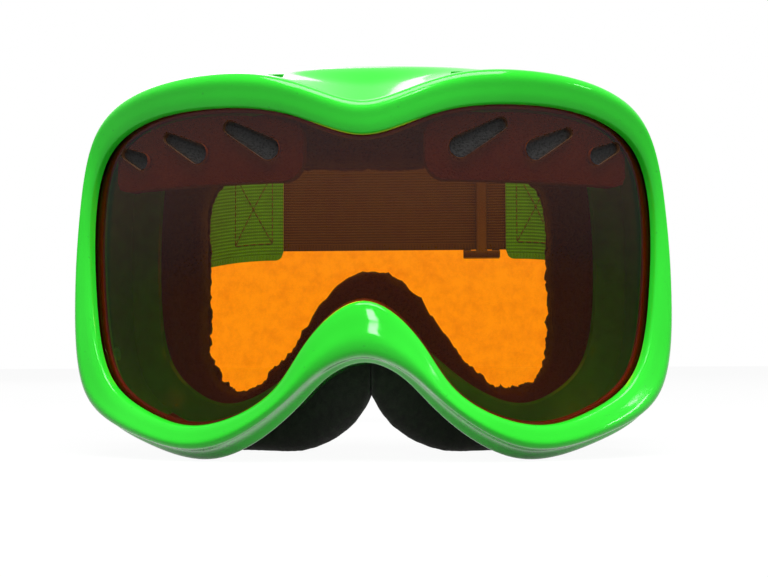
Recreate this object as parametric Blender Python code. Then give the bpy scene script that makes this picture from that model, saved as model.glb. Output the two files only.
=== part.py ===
"""Ski goggles, worn upright: the lens faces -Y, +X is to the right as seen from the front, +Z is up.

Lengths are in millimetres in the goggles' own layout frame: x across, y back from the lens's apex,
z up from the height of the lens's middle. The function world() turns them into metres, with the
origin on the floor at the centre of the bounding box.
"""
import bpy
import bmesh
import numpy as np
from math import asin, atan2, cos, hypot, pi, radians, sin, sqrt, tan

for old in list(bpy.data.objects):
    bpy.data.objects.remove(old, do_unlink=True)

# ---------------------------------------------------------------- driving dimensions
clearance = 0.3              # gap between touching pieces

lens_radius = 130.0          # cylinder that the frame's front and the lens follow
lens_thickness = 1.2
lens_depth = 2.4             # lens face behind the frame's front cylinder
lens_edge = 3.2              # how far the lens reaches under the rim
rim_rise = 2.3               # crown of the rim in front of the cylinder
seal_thickness = 1.2
seal_show = 0.8              # how far the seal looks out from under the rim
ledge_thickness = 1.6        # shelf behind the seal
wall = 2.2                   # frame's side wall
flange = 2.0                 # frame's back flange

foam_thickness = 10.0
fleece_thickness = 3.0
foam_inset = 1.0             # foam's outer edge inside the flange's edge
nose_pad_floor = -53.9       # lowest line of the nose pads, which the goggles stand on

strap_height = 35.0          # dark elastic at the back
side_height = 43.0           # green side lengths
strap_thickness = 1.6
strap_centre = 8.0           # height of the strap's middle at the clip's bar
strap_rise = radians(14.0)   # the strap climbs towards the back of the head
loop_back = 192.0            # middle of the green layer at the back of the loop
loop_flat = 50.0             # half width of the loop's straight back
loop_corner = 60.0           # length of the loop's rounded corner along y
tab_end = 46.0               # green side lengths end this far from the middle
overlap = 24.0               # how far the elastic is sewn over the green lengths
fold_length = 32.0           # end of the green length, folded back from the clip's bar

hinge_x = 83.8
hinge_y = 65.5
pin_radius = 1.3
barrel_radius = 3.4
barrel_height = 15.4
ear_thickness = 2.6
clip_thickness = 3.0
bar_back = 14.6              # clip's bar behind its hinge
bar_radius = 1.5
rail = 2.6                   # clip's top and bottom rails

adjuster_x = 36.0
adjuster_length = 15.0
adjuster_bar = 2.0

section_count = 72           # sections round the rim

edge_inset = 0.5             # side wall's outer face inside the rim's edge
wall_start = 2.2             # and its start behind the edge
opening_depth = 0.3          # opening's front corner behind the cylinder
shelf_reach = 1.2            # how far the shelf stands back from the opening
lens_play = 0.4              # free depth in front of the lens
side_vent = (47.5, -25.0)    # round vent low on each side: y and z
side_vent_radius = 2.2
vent_foam_thickness = 4.0
wall_foam_thickness = 2.0
slot_half_length = 0.3       # of a station's spacing

foam_bulge = 0.5             # how far the soft rings swell in the middle
pad_belly = 0.8              # and the nose pads
pad_gap = 0.8                # nose pads behind the flange, beyond the usual gap

ear_radius = 4.0
ear_root = ((81.7, 47.5), (77.3, 58.6))     # where the ears' edges leave the wall: (x, y)
pin_head_radius = 2.4
pin_head_height = 1.0
window_front = 4.2           # clip's window in front of its bar
strap_slack = 0.35           # webbing's gap round a bar
tab_corner = 3.6             # radius at the end of the green lengths

adjuster_side_bar = 3.2
adjuster_centre_bar = 4.4
adjuster_end = 3.0           # its top and bottom rails
adjuster_play = 0.5          # above and below the elastic
adjuster_rounding = 0.8

# Stations run from the top centre, over the right lobe, to the nose arch; the left half mirrors them.
# Across the unrolled cylinder: (arc length from the middle, height).
opening_stations = [(0, 32.0), (12, 35.0), (25, 39.2), (46, 40.9), (66, 38.6), (80, 31.0), (86.2, 14.0),
                    (85.5, -9.0), (79, -31.0), (63.5, -41.2), (45, -44.4), (25, -35.8), (16.5, -24.3),
                    (8.5, -15.4), (0, -11.8)]
rim_stations = [(0, 41.5), (10, 44.0), (24.3, 48.8), (46, 50.5), (69.3, 47.5), (85, 37.5), (92, 13.6),
                (94.4, -9.9), (89.2, -37.5), (68, -50.0), (42.5, -53.5), (21.7, -42.3), (13.8, -34.8),
                (7.6, -30.1), (0, -27.9)]
lip_width = [0.5, 0.5, 0.5, 0.6, 1.2, 2.4, 3.1, 3.1, 2.8, 2.8, 2.9, 2.3, 1.9, 1.6, 1.5]
lip_depth = [3.0, 3.0, 3.0, 3.0, 3.0, 3.0, 3.0, 3.0, 4.0, 5.5, 6.0, 6.0, 6.0, 6.0, 6.0]
# Edges of the back flange and of the foam's hole: (x, y, z), and (x, z).
flange_stations = [(0, 27, 55.8), (11, 27.5, 55.8), (25, 29.5, 55.5), (44, 35, 54.0), (61, 44, 50.0),
                   (72, 53, 40.5), (77.5, 60, 18), (78, 62.5, -8), (74, 61, -33), (60, 55, -46.5),
                   (42, 47, -50.5), (22, 37.5, -41.5), (15, 33.2, -35.4), (8, 29.2, -30.3), (0, 27.5, -28.2)]
flange_hole_stations = [(0, 26, 44), (10.5, 26.5, 44), (23.5, 28.5, 43.5), (41, 33.5, 42.0), (54, 41, 38),
                        (61.5, 48, 30.5), (65, 54, 14), (65.5, 56, -8), (62, 55, -27), (53, 50.5, -36.5),
                        (41, 45, -39.5), (27.0, 37.5, -33.0), (18.5, 33.2, -26.0), (9.5, 29.2, -19.5),
                        (0, 27.5, -17.0)]
foam_hole_stations = [(0, 28.8), (10, 29), (21, 29.6), (34, 30), (44.5, 28), (51, 21.5), (52.8, 8), (53, -9),
                      (52.5, -26), (47, -34.5), (38.5, -37), (27.5, -29), (19, -17.5), (9.5, -6.2), (0, -2.2)]
# Lower edge of the nose pads: (x, z), from the notch outwards.
pad_edge = [(0.2, -37.5), (3.0, -42.5), (7.0, -47.0), (13.0, -51.0), (21.0, -53.6), (30.0, -53.9),
            (39.0, -53.9), (46.0, -52.6), (51.0, -50.2)]

# Lens vents: wide end (s, z, radius), narrow end (s, z, radius).
vents = [((26.3, 29.3, 3.05), (37.9, 35.7, 1.85)),
         ((47.9, 29.2, 2.9), (57.9, 34.2, 1.55)),
         ((67.6, 28.5, 2.45), (74.0, 31.3, 1.6))]

# Rim between the opening and the front edge: (share of the band, share of the crown's rise).
crown_section = [(0.12, 0.24), (0.42, 0.70), (0.75, 1.0), (0.93, 0.62)]
# Slots through the side wall: (first station, count, spacing, low share, high share of the wall's depth).
wall_slots = [(2.35, 3, 0.85, 0.35, 0.62), (9.5, 2, 0.7, 0.42, 0.68)]
# Foam strips inside them: (name, first station, last station, low share, high share).
wall_foams = [("top_vent_foam", 1.9, 4.5, 0.30, 0.72), ("bottom_vent_foam", 8.9, 10.6, 0.34, 0.74)]

green = (0.045, 0.80, 0.05)
black = (0.012, 0.012, 0.013)

# ---------------------------------------------------------------- layout and small helpers
seal_front = lens_depth + lens_thickness + clearance
ledge_front = seal_front + seal_thickness + clearance
ledge_back = ledge_front + ledge_thickness
groove = lens_edge + 0.6
front_y = -rim_rise
elastic_offset = strap_thickness + clearance
elastic_y = loop_back + elastic_offset
adjuster_gap = strap_thickness / 2 + strap_slack
back_y = elastic_y + adjuster_gap + adjuster_bar
shift_y = (front_y + back_y) / 2
floor_z = nose_pad_floor


def world(point):
    x, y, z = point
    return (x * 0.001, (y - shift_y) * 0.001, (z - floor_z) * 0.001)


def material(name, colour, roughness, metallic=0.0, alpha=1.0, transmission=0.0):
    made = bpy.data.materials.new(name)
    made.use_nodes = True
    shader = made.node_tree.nodes["Principled BSDF"]
    shader.inputs["Base Color"].default_value = (*colour, 1.0)
    shader.inputs["Roughness"].default_value = roughness
    shader.inputs["Metallic"].default_value = metallic
    shader.inputs["Alpha"].default_value = alpha
    shader.inputs["Transmission Weight"].default_value = transmission
    return made


gloss_green = material("gloss_green", green, 0.22)
amber = material("amber", (1.0, 0.33, 0.02), 0.04, alpha=0.55, transmission=0.8)
black_rubber = material("black_rubber", black, 0.55)
black_foam = material("black_foam", (0.02, 0.02, 0.022), 0.95)
fleece = material("fleece", (0.028, 0.028, 0.03), 1.0)
clip_plastic = material("clip_plastic", (0.018, 0.018, 0.02), 0.4)
steel = material("steel", (0.62, 0.62, 0.64), 0.3, metallic=1.0)
green_webbing = material("green_webbing", (0.05, 0.50, 0.05), 0.8)
dark_elastic = material("dark_elastic", (0.03, 0.03, 0.032), 0.85)


def add_object(name, mesh, look, origin=(0, 0, 0)):
    """Link a mesh whose coordinates are layout millimetres, with its origin at a layout point."""
    base = world(origin)
    for vertex in mesh.vertices:
        place = world(vertex.co)
        vertex.co = [place[i] - base[i] for i in range(3)]
    made = bpy.data.objects.new(name, mesh)
    made.location = base
    bpy.context.scene.collection.objects.link(made)
    if look:
        mesh.materials.append(look)
        for face in mesh.polygons:
            face.use_smooth = True
        mesh.set_sharp_from_angle(angle=radians(35))
    return made


def mesh_from(name, verts, faces, curved=False):
    """A closed mesh; the four-sided faces of a curved one are split, because they aren't flat."""
    mesh = bpy.data.meshes.new(name)
    shape = bmesh.new()
    points = [shape.verts.new(v) for v in verts]
    for face in faces:
        shape.faces.new([points[i] for i in face])
    if curved:
        bmesh.ops.triangulate(shape, faces=[face for face in shape.faces if len(face.verts) == 4])
    bmesh.ops.recalc_face_normals(shape, faces=shape.faces)
    shape.to_mesh(mesh)
    shape.free()
    return mesh


def add_cutter(name, mesh):
    cutter = add_object(name, mesh, None)
    cutter.hide_render = True
    cutter.display_type = 'WIRE'
    return cutter


def boolean(target, tool, operation):
    step = target.modifiers.new(tool.name, 'BOOLEAN')
    step.operation = operation
    step.solver = 'EXACT'
    step.object = tool


def merge_meshes(name, meshes):
    """Put several closed meshes in one, as separate solids."""
    joined = bpy.data.meshes.new(name)
    shape = bmesh.new()
    for mesh in meshes:
        shape.from_mesh(mesh)
    shape.to_mesh(joined)
    shape.free()
    return joined


def mirrored(mesh):
    copy = mesh.copy()
    shape = bmesh.new()
    shape.from_mesh(copy)
    for vertex in shape.verts:
        vertex.co.x = -vertex.co.x
    bmesh.ops.reverse_faces(shape, faces=shape.faces)
    shape.to_mesh(copy)
    shape.free()
    return copy


def box_mesh(name, low, high):
    corners = [(x, y, z) for x in (low[0], high[0]) for y in (low[1], high[1]) for z in (low[2], high[2])]
    faces = [(0, 1, 3, 2), (4, 6, 7, 5), (0, 4, 5, 1), (2, 3, 7, 6), (0, 2, 6, 4), (1, 5, 7, 3)]
    return mesh_from(name, corners, faces)


def prism_mesh(name, outline, lift):
    """Extrude a closed outline of points; lift(point, end) places it at end 0 and end 1."""
    count = len(outline)
    verts = [lift(p, end) for end in (0, 1) for p in outline]
    faces = [tuple(range(count)), tuple(range(2 * count - 1, count - 1, -1))]
    faces += [(i, (i + 1) % count, count + (i + 1) % count, count + i) for i in range(count)]
    return mesh_from(name, verts, faces)


def rod_mesh(name, centre, radius, low, high, sides=16):
    """A round rod along z."""
    outline = [(centre[0] + radius * cos(2 * pi * i / sides), centre[1] + radius * sin(2 * pi * i / sides))
               for i in range(sides)]
    return prism_mesh(name, outline, lambda p, end: (p[0], p[1], high if end else low))


# ---------------------------------------------------------------- the rim's closed curves
def mirror_stations(stations):
    """Right half, top to bottom, then the left half back up: one closed list of points."""
    right = np.array(stations, float)
    left = right[-2:0:-1] * np.array([-1.0] + [1.0] * (right.shape[1] - 1))
    return np.vstack([right, left])


def mirror_values(values):
    return np.array(list(values) + list(values[-2:0:-1]), float).reshape(-1, 1)


rim_closed = mirror_stations(rim_stations)
middle_closed = (rim_closed + mirror_stations(opening_stations)) / 2
gaps = np.sqrt(np.linalg.norm(np.roll(middle_closed, -1, axis=0) - middle_closed, axis=1))
knots = np.concatenate([[0.0], np.cumsum(gaps)])
bottom_station = len(rim_stations) - 1


def closed_spline(points, at):
    """Periodic cubic spline through the points on the shared knots, and its slope."""
    count = len(points)
    step = np.diff(knots)
    before = np.roll(step, 1)
    system = np.zeros((count, count))
    for i in range(count):
        system[i, i - 1] += before[i]
        system[i, i] += 2 * (before[i] + step[i])
        system[i, (i + 1) % count] += step[i]
    rise = (np.roll(points, -1, axis=0) - points) / step[:, None]
    bend = np.linalg.solve(system, 6 * (rise - np.roll(rise, 1, axis=0)))
    span = np.clip(np.searchsorted(knots, at, side='right') - 1, 0, count - 1)
    following = (span + 1) % count
    width = step[span][:, None]
    past = (at - knots[span])[:, None]
    left = width - past
    value = (bend[span] * left ** 3 + bend[following] * past ** 3) / (6 * width)
    value += (points[span] / width - bend[span] * width / 6) * left
    value += (points[following] / width - bend[following] * width / 6) * past
    slope = (bend[following] * past ** 2 - bend[span] * left ** 2) / (2 * width)
    slope += (points[following] - points[span]) / width - (bend[following] - bend[span]) * width / 6
    return value, slope


def even_parameters(count):
    """Spline parameters that are equally spaced along the rim's middle."""
    fine = np.linspace(0, knots[-1], 2001)
    curve, slope = closed_spline(middle_closed, fine)
    along = np.concatenate([[0.0], np.cumsum(np.linalg.norm(np.diff(curve, axis=0), axis=1))])
    return np.interp(np.arange(count) * along[-1] / count, along, fine)


section_at = even_parameters(section_count)


def flat_curve(stations, outward=0.0, at=section_at):
    """A curve in the unrolled plane, moved outwards by a distance along its normal."""
    curve, slope = closed_spline(mirror_stations(stations), at)
    normal = np.stack([-slope[:, 1], slope[:, 0]], axis=1)
    normal /= np.linalg.norm(normal, axis=1)[:, None]
    return curve + normal * np.reshape(outward, (-1, 1))


def wrap(flat, depth):
    """Roll unrolled points (arc, height) on the cylinder, a depth behind its face."""
    depth = np.broadcast_to(np.reshape(depth, -1), (len(flat),))
    turn = flat[:, 0] / lens_radius
    return np.stack([(lens_radius - depth) * np.sin(turn), lens_radius - (lens_radius - depth) * np.cos(turn),
                     flat[:, 1]], axis=1)


def space_curve(stations, at=section_at):
    return closed_spline(mirror_stations(stations), at)[0]


def loft(name, rings):
    """Join closed rings of equal count into a closed tube whose own section is closed too."""
    count = len(rings[0])
    verts = [tuple(p) for ring in rings for p in ring]
    faces = []
    for r in range(len(rings)):
        nearer, farther = r * count, (r + 1) % len(rings) * count
        for i in range(count):
            j = (i + 1) % count
            faces.append((nearer + i, nearer + j, farther + j, farther + i))
    return mesh_from(name, verts, faces, curved=True)


def between(a, b, share):
    return a + (b - a) * share


def inward(edge, hole, distance):
    """Move an edge towards the hole's edge by a distance."""
    way = hole - edge
    return edge + way / np.linalg.norm(way, axis=1)[:, None] * distance


def back(points, distance):
    return points + np.array([0.0, distance, 0.0])


# ---------------------------------------------------------------- frame
# The outward normal's sign is set by the direction in which the stations run.
def rim_curves(at):
    lip_in = closed_spline(mirror_values(lip_width), at)[0][:, 0]
    lip_back = closed_spline(mirror_values(lip_depth), at)[0][:, 0]
    edge = flat_curve(rim_stations, 0.0, at)
    front_edge = flat_curve(rim_stations, -lip_in, at)
    return edge, front_edge, lip_back


def wall_curves(at):
    """Outer and inner edges of the side wall, at its front and at its back."""
    edge, front_edge, lip_back = rim_curves(at)
    flange_edge = space_curve(flange_stations, at)
    hole_edge = space_curve(flange_hole_stations, at)
    outer_front = wrap(flat_curve(rim_stations, -edge_inset, at), lip_back + wall_start)
    inner_front = wrap(flat_curve(rim_stations, -edge_inset - wall, at), ledge_back)
    inner_back = inward(flange_edge, hole_edge, wall)
    return outer_front, flange_edge, inner_front, inner_back


def frame_mesh():
    at = section_at
    opening = flat_curve(opening_stations, 0.0, at)
    edge, front_edge, lip_back = rim_curves(at)
    outer_front, flange_edge, inner_front, inner_back = wall_curves(at)
    hole_edge = space_curve(flange_hole_stations, at)
    shelf = flat_curve(opening_stations, shelf_reach, at)
    pocket = flat_curve(opening_stations, groove, at)
    rings = [
        wrap(opening, lens_depth - lens_play),
        wrap(opening, opening_depth),
        *[wrap(between(opening, front_edge, share), -lift * rim_rise) for share, lift in crown_section],
        wrap(front_edge, 0.5),
        wrap(between(front_edge, edge, 0.3), 0.5 * lip_back + 0.6),
        wrap(edge, lip_back),
        outer_front,
        between(outer_front, flange_edge, 0.5),
        flange_edge,
        back(flange_edge, flange),
        back(hole_edge, flange),
        hole_edge,
        inner_back,
        between(inner_front, inner_back, 0.5),
        inner_front,
        wrap(shelf, ledge_back),
        wrap(shelf, ledge_front),
        wrap(pocket, ledge_front),
        wrap(pocket, lens_depth - lens_play),
    ]
    return loft("frame", rings)


def wall_block(name, at_low, at_high, share_low, share_high, near, far, steps=3):
    """A block that follows the side wall; near and far are distances inside its outer face."""
    at = np.linspace(at_low, at_high, steps)
    outer_front, outer_back, inner_front, inner_back = wall_curves(at)

    def row(share, inside):
        outer = between(outer_front, outer_back, share)
        inner = between(inner_front, inner_back, share)
        return between(outer, inner, inside / wall)

    rows = [row(share_low, near), row(share_high, near), row(share_high, far), row(share_low, far)]
    verts = [tuple(p) for one in rows for p in one]
    faces = []
    for r in range(4):
        a, b = r * steps, (r + 1) % 4 * steps
        faces += [(a + i, a + i + 1, b + i + 1, b + i) for i in range(steps - 1)]
    faces.append(tuple(r * steps for r in range(4)))
    faces.append(tuple(r * steps + steps - 1 for r in reversed(range(4))))
    return mesh_from(name, verts, faces, curved=True)


def ear_mesh(name, low, high):
    """A tongue from the side wall to the hinge pin."""
    middle = atan2(hinge_y - (ear_root[0][1] + ear_root[1][1]) / 2, hinge_x - (ear_root[0][0] + ear_root[1][0]) / 2)
    arc = [middle + radians(a) for a in range(-90, 91, 30)]
    tip = [(hinge_x + ear_radius * cos(a), hinge_y + ear_radius * sin(a)) for a in arc]
    outline = [ear_root[0]] + tip + [ear_root[1]]
    return prism_mesh(name, outline, lambda p, end: (p[0], p[1], high if end else low))


def between_sections(station):
    """The spline parameter near a station that lies midway between two of the rim's sections."""
    wanted = np.interp(station, range(len(knots)), knots)
    i = np.searchsorted(section_at, wanted)
    return (section_at[i - 1] + section_at[i]) / 2


vent_slots = []
for first, count, spacing, share_low, share_high in wall_slots:
    for k in range(count):
        station = first + k * spacing
        ends = [between_sections(station + part * slot_half_length) for part in (-1, 1)]
        vent_slots.append(wall_block("slot", ends[0], ends[1], share_low, share_high, -3.0, wall + 3.0))
vent_slots += [mirrored(mesh) for mesh in vent_slots]

ear_low = strap_centre - barrel_height / 2 - clearance
ear_high = strap_centre + barrel_height / 2 + clearance
ears = [ear_mesh("ear", ear_low - ear_thickness, ear_low), ear_mesh("ear", ear_high, ear_high + ear_thickness)]
ears += [mirrored(mesh) for mesh in ears]
pin_hole = rod_mesh("pin_hole", (hinge_x, hinge_y), pin_radius + clearance, ear_low - 9, ear_high + 9)


def side_hole_mesh():
    """Round vent through the side wall, low on each side."""
    outline = [(side_vent[1] + side_vent_radius * cos(a), side_vent[0] + side_vent_radius * sin(a))
               for a in np.arange(12) * pi / 6]
    return prism_mesh("side_hole", outline, lambda p, end: (hinge_x + (5 if end else -15), p[1], p[0]))


frame = add_object("frame", frame_mesh(), gloss_green)
boolean(frame, add_cutter("ears", merge_meshes("ears", ears)), 'UNION')
boolean(frame, add_cutter("pin_holes", merge_meshes("pin_holes", [pin_hole, mirrored(pin_hole)])), 'DIFFERENCE')
side_hole = side_hole_mesh()
cuts = vent_slots + [side_hole, mirrored(side_hole)]
boolean(frame, add_cutter("wall_vents", merge_meshes("wall_vents", cuts)), 'DIFFERENCE')


# ---------------------------------------------------------------- lens, its seal and its vent foams
def rolled_plate(name, outline, depth_near, depth_far, strip=9.0, holes=()):
    """A flat outline, cut in strips and rolled on the cylinder, with rounded slots through it."""
    flat = prism_mesh(name, [tuple(p) for p in outline], lambda p, end: (p[0], float(end), p[1]))
    shape = bmesh.new()
    shape.from_mesh(flat)
    if holes:
        body = bpy.data.objects.new("body", flat)
        tool_mesh = merge_meshes("holes", [prism_mesh("hole", h, lambda p, end: (p[0], 3.0 * end - 1.0, p[1]))
                                           for h in holes])
        tool = bpy.data.objects.new("tool", tool_mesh)
        for one in (body, tool):
            bpy.context.scene.collection.objects.link(one)
        boolean(body, tool, 'DIFFERENCE')
        cut = bpy.data.meshes.new_from_object(body.evaluated_get(bpy.context.evaluated_depsgraph_get()))
        shape.clear()
        shape.from_mesh(cut)
        for one in (body, tool):
            bpy.data.objects.remove(one, do_unlink=True)
    reach = max(abs(p[0]) for p in outline)
    for k in range(-int(reach / strip), int(reach / strip) + 1):
        geometry = shape.verts[:] + shape.edges[:] + shape.faces[:]
        bmesh.ops.bisect_plane(shape, geom=geometry, plane_co=(k * strip, 0, 0), plane_no=(1, 0, 0), dist=1e-4)
    bmesh.ops.triangulate(shape, faces=shape.faces)
    for vertex in shape.verts:
        depth = depth_near + (depth_far - depth_near) * vertex.co.y
        turn = vertex.co.x / lens_radius
        height = vertex.co.z
        vertex.co = ((lens_radius - depth) * sin(turn), lens_radius - (lens_radius - depth) * cos(turn), height)
    bmesh.ops.recalc_face_normals(shape, faces=shape.faces)
    rolled = bpy.data.meshes.new(name)
    shape.to_mesh(rolled)
    shape.free()
    return rolled


def slot_outline(wide, narrow, side=1):
    """Outline of a slot with a wide round end and a narrow one."""
    way = atan2(narrow[1] - wide[1], narrow[0] - wide[0])
    lean = asin((wide[2] - narrow[2]) / hypot(narrow[0] - wide[0], narrow[1] - wide[1]))
    points = []
    for end, start, stop in ((wide, way + pi / 2 - lean, way + 3 * pi / 2 + lean),
                             (narrow, way - pi / 2 + lean, way + pi / 2 - lean)):
        for a in np.linspace(start, stop, 8):
            points.append((side * (end[0] + end[2] * cos(a)), end[1] + end[2] * sin(a)))
    return points


vent_outlines = [slot_outline(wide, narrow, side) for wide, narrow in vents for side in (1, -1)]
lens_mesh = rolled_plate("lens", flat_curve(opening_stations, lens_edge), lens_depth,
                         lens_depth + lens_thickness, holes=vent_outlines)
add_object("lens", lens_mesh, amber)

seal_inner = flat_curve(opening_stations, -seal_show)
seal_outer = flat_curve(opening_stations, lens_edge)
add_object("lens_seal", loft("lens_seal", [wrap(seal_inner, seal_front), wrap(seal_outer, seal_front),
                                           wrap(seal_outer, seal_front + seal_thickness),
                                           wrap(seal_inner, seal_front + seal_thickness)]), black_rubber)


def vent_foam_outline():
    """Foam behind the lens's vents: straight lower edge, round inner end, top along the opening."""
    low, inner, outer, corner = 20.6, 16.8, 79.0, 6.0
    fine = np.linspace(0, knots[bottom_station], 400)
    top = flat_curve(opening_stations, -seal_show - 0.8, fine)
    top = top[(top[:, 0] > inner + corner) & (top[:, 1] > low + 1.0)]
    top = top[top[:, 0] < outer]
    top = top[::22]
    points = [(inner + corner - corner * cos(a), low + corner - corner * sin(a))
              for a in np.linspace(0, pi / 2, 4)]
    last = top[-1]
    points += [(last[0] - 3.5, low), (last[0], low + 3.0)]
    points += [tuple(p) for p in top[::-1]]
    start = top[0]
    points += [(inner + 1.5, start[1] - 1.5), (inner, start[1] - 5.0)]
    return points


vent_foam = rolled_plate("lens_vent_foam", vent_foam_outline(), seal_front, seal_front + vent_foam_thickness)
add_object("lens_vent_foam_left", mirrored(vent_foam), black_foam)
add_object("lens_vent_foam_right", vent_foam, black_foam)

# ---------------------------------------------------------------- face foam, fleece and nose pads
flange_edge = space_curve(flange_stations)
hole_edge = space_curve(flange_hole_stations)


def foam_curves():
    """Front edges of the foam: its outer edge on the flange, and its hole, which overhangs the flange."""
    outer = inward(flange_edge, hole_edge, foam_inset)
    flat_hole = closed_spline(mirror_stations(foam_hole_stations), section_at)[0]
    lean = (hole_edge[:, 1] - flange_edge[:, 1]) / np.linalg.norm(hole_edge - flange_edge, axis=1)
    reach = np.linalg.norm(flat_hole - hole_edge[:, [0, 2]], axis=1)
    hole = np.stack([flat_hole[:, 0], hole_edge[:, 1] + 0.5 * lean * reach, flat_hole[:, 1]], axis=1)
    return back(outer, flange + clearance), back(hole, flange + clearance)


foam_outer, foam_hole = foam_curves()
foam_flange = back(hole_edge, flange + clearance)


def foam_ring(name, near, far, look, bulge):
    """A soft ring between two distances behind the flange, its edges bulging a little."""
    swell = inward(foam_outer, foam_hole, -bulge), inward(foam_hole, foam_outer, -bulge)
    middle = (near + far) / 2
    rings = [back(foam_outer, near), back(foam_flange, near), back(foam_hole, near), back(swell[1], middle),
             back(foam_hole, far), back(between(foam_hole, foam_outer, 0.5), far + bulge),
             back(foam_outer, far), back(swell[0], middle)]
    if near > 0:
        rings[1] = back(between(foam_hole, foam_outer, 0.5), near)
    add_object(name, loft(name, rings), look)


foam_ring("face_foam", 0.0, foam_thickness, black_foam, foam_bulge)
fleece_near = foam_thickness + clearance
foam_ring("face_fleece", fleece_near + foam_bulge, fleece_near + fleece_thickness, fleece, foam_bulge)
face_back = fleece_near + fleece_thickness


def nose_pad_mesh():
    """Right lobe: it hangs under the foam ring from the notch at the middle to the cheek."""
    steps = 22
    at = np.linspace(knots[bottom_station] - 0.02, knots[9] + 0.30 * (knots[10] - knots[9]), steps)
    edge = inward(space_curve(flange_stations, at), space_curve(flange_hole_stations, at), foam_inset)
    upper = edge - np.array([0.0, 0.0, clearance + 2 * foam_bulge])
    along = np.linspace(0, len(pad_edge) - 1, steps)
    low_x = np.interp(along, range(len(pad_edge)), [p[0] for p in pad_edge])
    low_z = np.interp(along, range(len(pad_edge)), [p[1] for p in pad_edge])
    upper[:, 0] = np.maximum(upper[:, 0], 0.2)
    front = edge[:, 1] + flange + clearance + pad_gap
    rear = front + foam_thickness + fleece_thickness
    rows = []
    for i in range(steps):
        top = (upper[i, 0], upper[i, 2])
        low = (low_x[i], min(low_z[i], upper[i, 2] - 1.2))
        half = ((top[0] + low[0]) / 2, (top[1] + low[1]) / 2)
        rows.append([(top[0], front[i], top[1]), (half[0], front[i] - pad_belly, half[1]), (low[0], front[i], low[1]),
                     (low[0], rear[i], low[1]), (half[0], rear[i] + pad_belly, half[1]), (top[0], rear[i], top[1])])
    sides = len(rows[0])
    verts = [p for row in rows for p in row]
    faces = [(i * sides + k, i * sides + (k + 1) % sides, (i + 1) * sides + (k + 1) % sides, (i + 1) * sides + k)
             for i in range(steps - 1) for k in range(sides)]
    faces += [tuple(range(sides)), tuple((steps - 1) * sides + k for k in reversed(range(sides)))]
    return mesh_from("nose_pad", verts, faces)


nose_pad = nose_pad_mesh()
add_object("nose_pad_left", mirrored(nose_pad), fleece)
add_object("nose_pad_right", nose_pad, fleece)

# ---------------------------------------------------------------- foams over the frame's vents
for name, first, last, share_low, share_high in wall_foams:
    ends = [np.interp(station, range(len(knots)), knots) for station in (first, last)]
    near = wall + 2 * clearance
    strip = wall_block(name, ends[0], ends[1], share_low, share_high, near, near + wall_foam_thickness, steps=12)
    add_object(name + "_left", mirrored(strip), black_foam)
    add_object(name + "_right", strip, black_foam)

# ---------------------------------------------------------------- strap clips and their pins
bar_y = hinge_y + bar_back


def clip_side(side):
    """Clip on one side: a barrel on the hinge, a plate, two rails and a round bar for the strap."""
    name = "strap_clip_" + ("right" if side > 0 else "left")
    half = side_height / 2 + 0.7
    tip = half + rail
    low_y, high_y = hinge_y + 1.0, bar_y + bar_radius
    neck = barrel_height / 2 - 0.6
    outline = [(low_y, -neck), (low_y + 4.0, -neck), (low_y + 8.0, -tip), (high_y, -tip), (high_y, tip),
               (low_y + 8.0, tip), (low_y + 4.0, neck), (low_y, neck)]
    thick = clip_thickness / 2
    x = side * hinge_x
    plate = prism_mesh(name, outline, lambda p, end: (x + thick * (1 if end else -1), p[0], strap_centre + p[1]))
    clip = add_object(name, plate, clip_plastic, (x, hinge_y, strap_centre))
    window = box_mesh("window", (x - 5, bar_y - window_front, strap_centre - half), (x + 5, bar_y + 9, strap_centre + half))
    boolean(clip, add_cutter(name + "_window", window), 'DIFFERENCE')
    bar = rod_mesh("bar", (x, bar_y), bar_radius, strap_centre - half - 1, strap_centre + half + 1)
    boolean(clip, add_cutter(name + "_bar", bar), 'UNION')
    low, high = strap_centre - barrel_height / 2, strap_centre + barrel_height / 2
    barrel = rod_mesh("barrel", (x, hinge_y), barrel_radius, low, high, 20)
    boolean(clip, add_cutter(name + "_barrel", barrel), 'UNION')
    bore = rod_mesh("bore", (x, hinge_y), pin_radius + clearance, low - 5, high + 5)
    boolean(clip, add_cutter(name + "_bore", bore), 'DIFFERENCE')


def pin_side(side):
    name = "clip_pin_" + ("right" if side > 0 else "left")
    x = side * hinge_x
    shaft = rod_mesh(name, (x, hinge_y), pin_radius, ear_low - ear_thickness, ear_high + ear_thickness + clearance + 0.5)
    pin = add_object(name, shaft, steel, (x, hinge_y, strap_centre))
    low = ear_high + ear_thickness + clearance
    boolean(pin, add_cutter(name + "_head", rod_mesh("head", (x, hinge_y), pin_head_radius, low, low + pin_head_height)), 'UNION')


for side in (-1, 1):
    clip_side(side)
    pin_side(side)


# ---------------------------------------------------------------- strap
def strap_height_at(y):
    return strap_centre + tan(strap_rise) * (y - bar_y)


def loop_path():
    """Middle line of the green layer in plan: right side, rounded corner, then the straight back."""
    side_x = hinge_x + 1.3
    corner_y = loop_back - loop_corner
    points = [(side_x, y) for y in np.linspace(bar_y + 12, corner_y, 8)]
    points += [(loop_flat + (side_x - loop_flat) * cos(a), corner_y + loop_corner * sin(a))
               for a in np.linspace(0, pi / 2, 19)[1:]]
    points.append((0.0, loop_back))
    return np.array(points)


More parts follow.
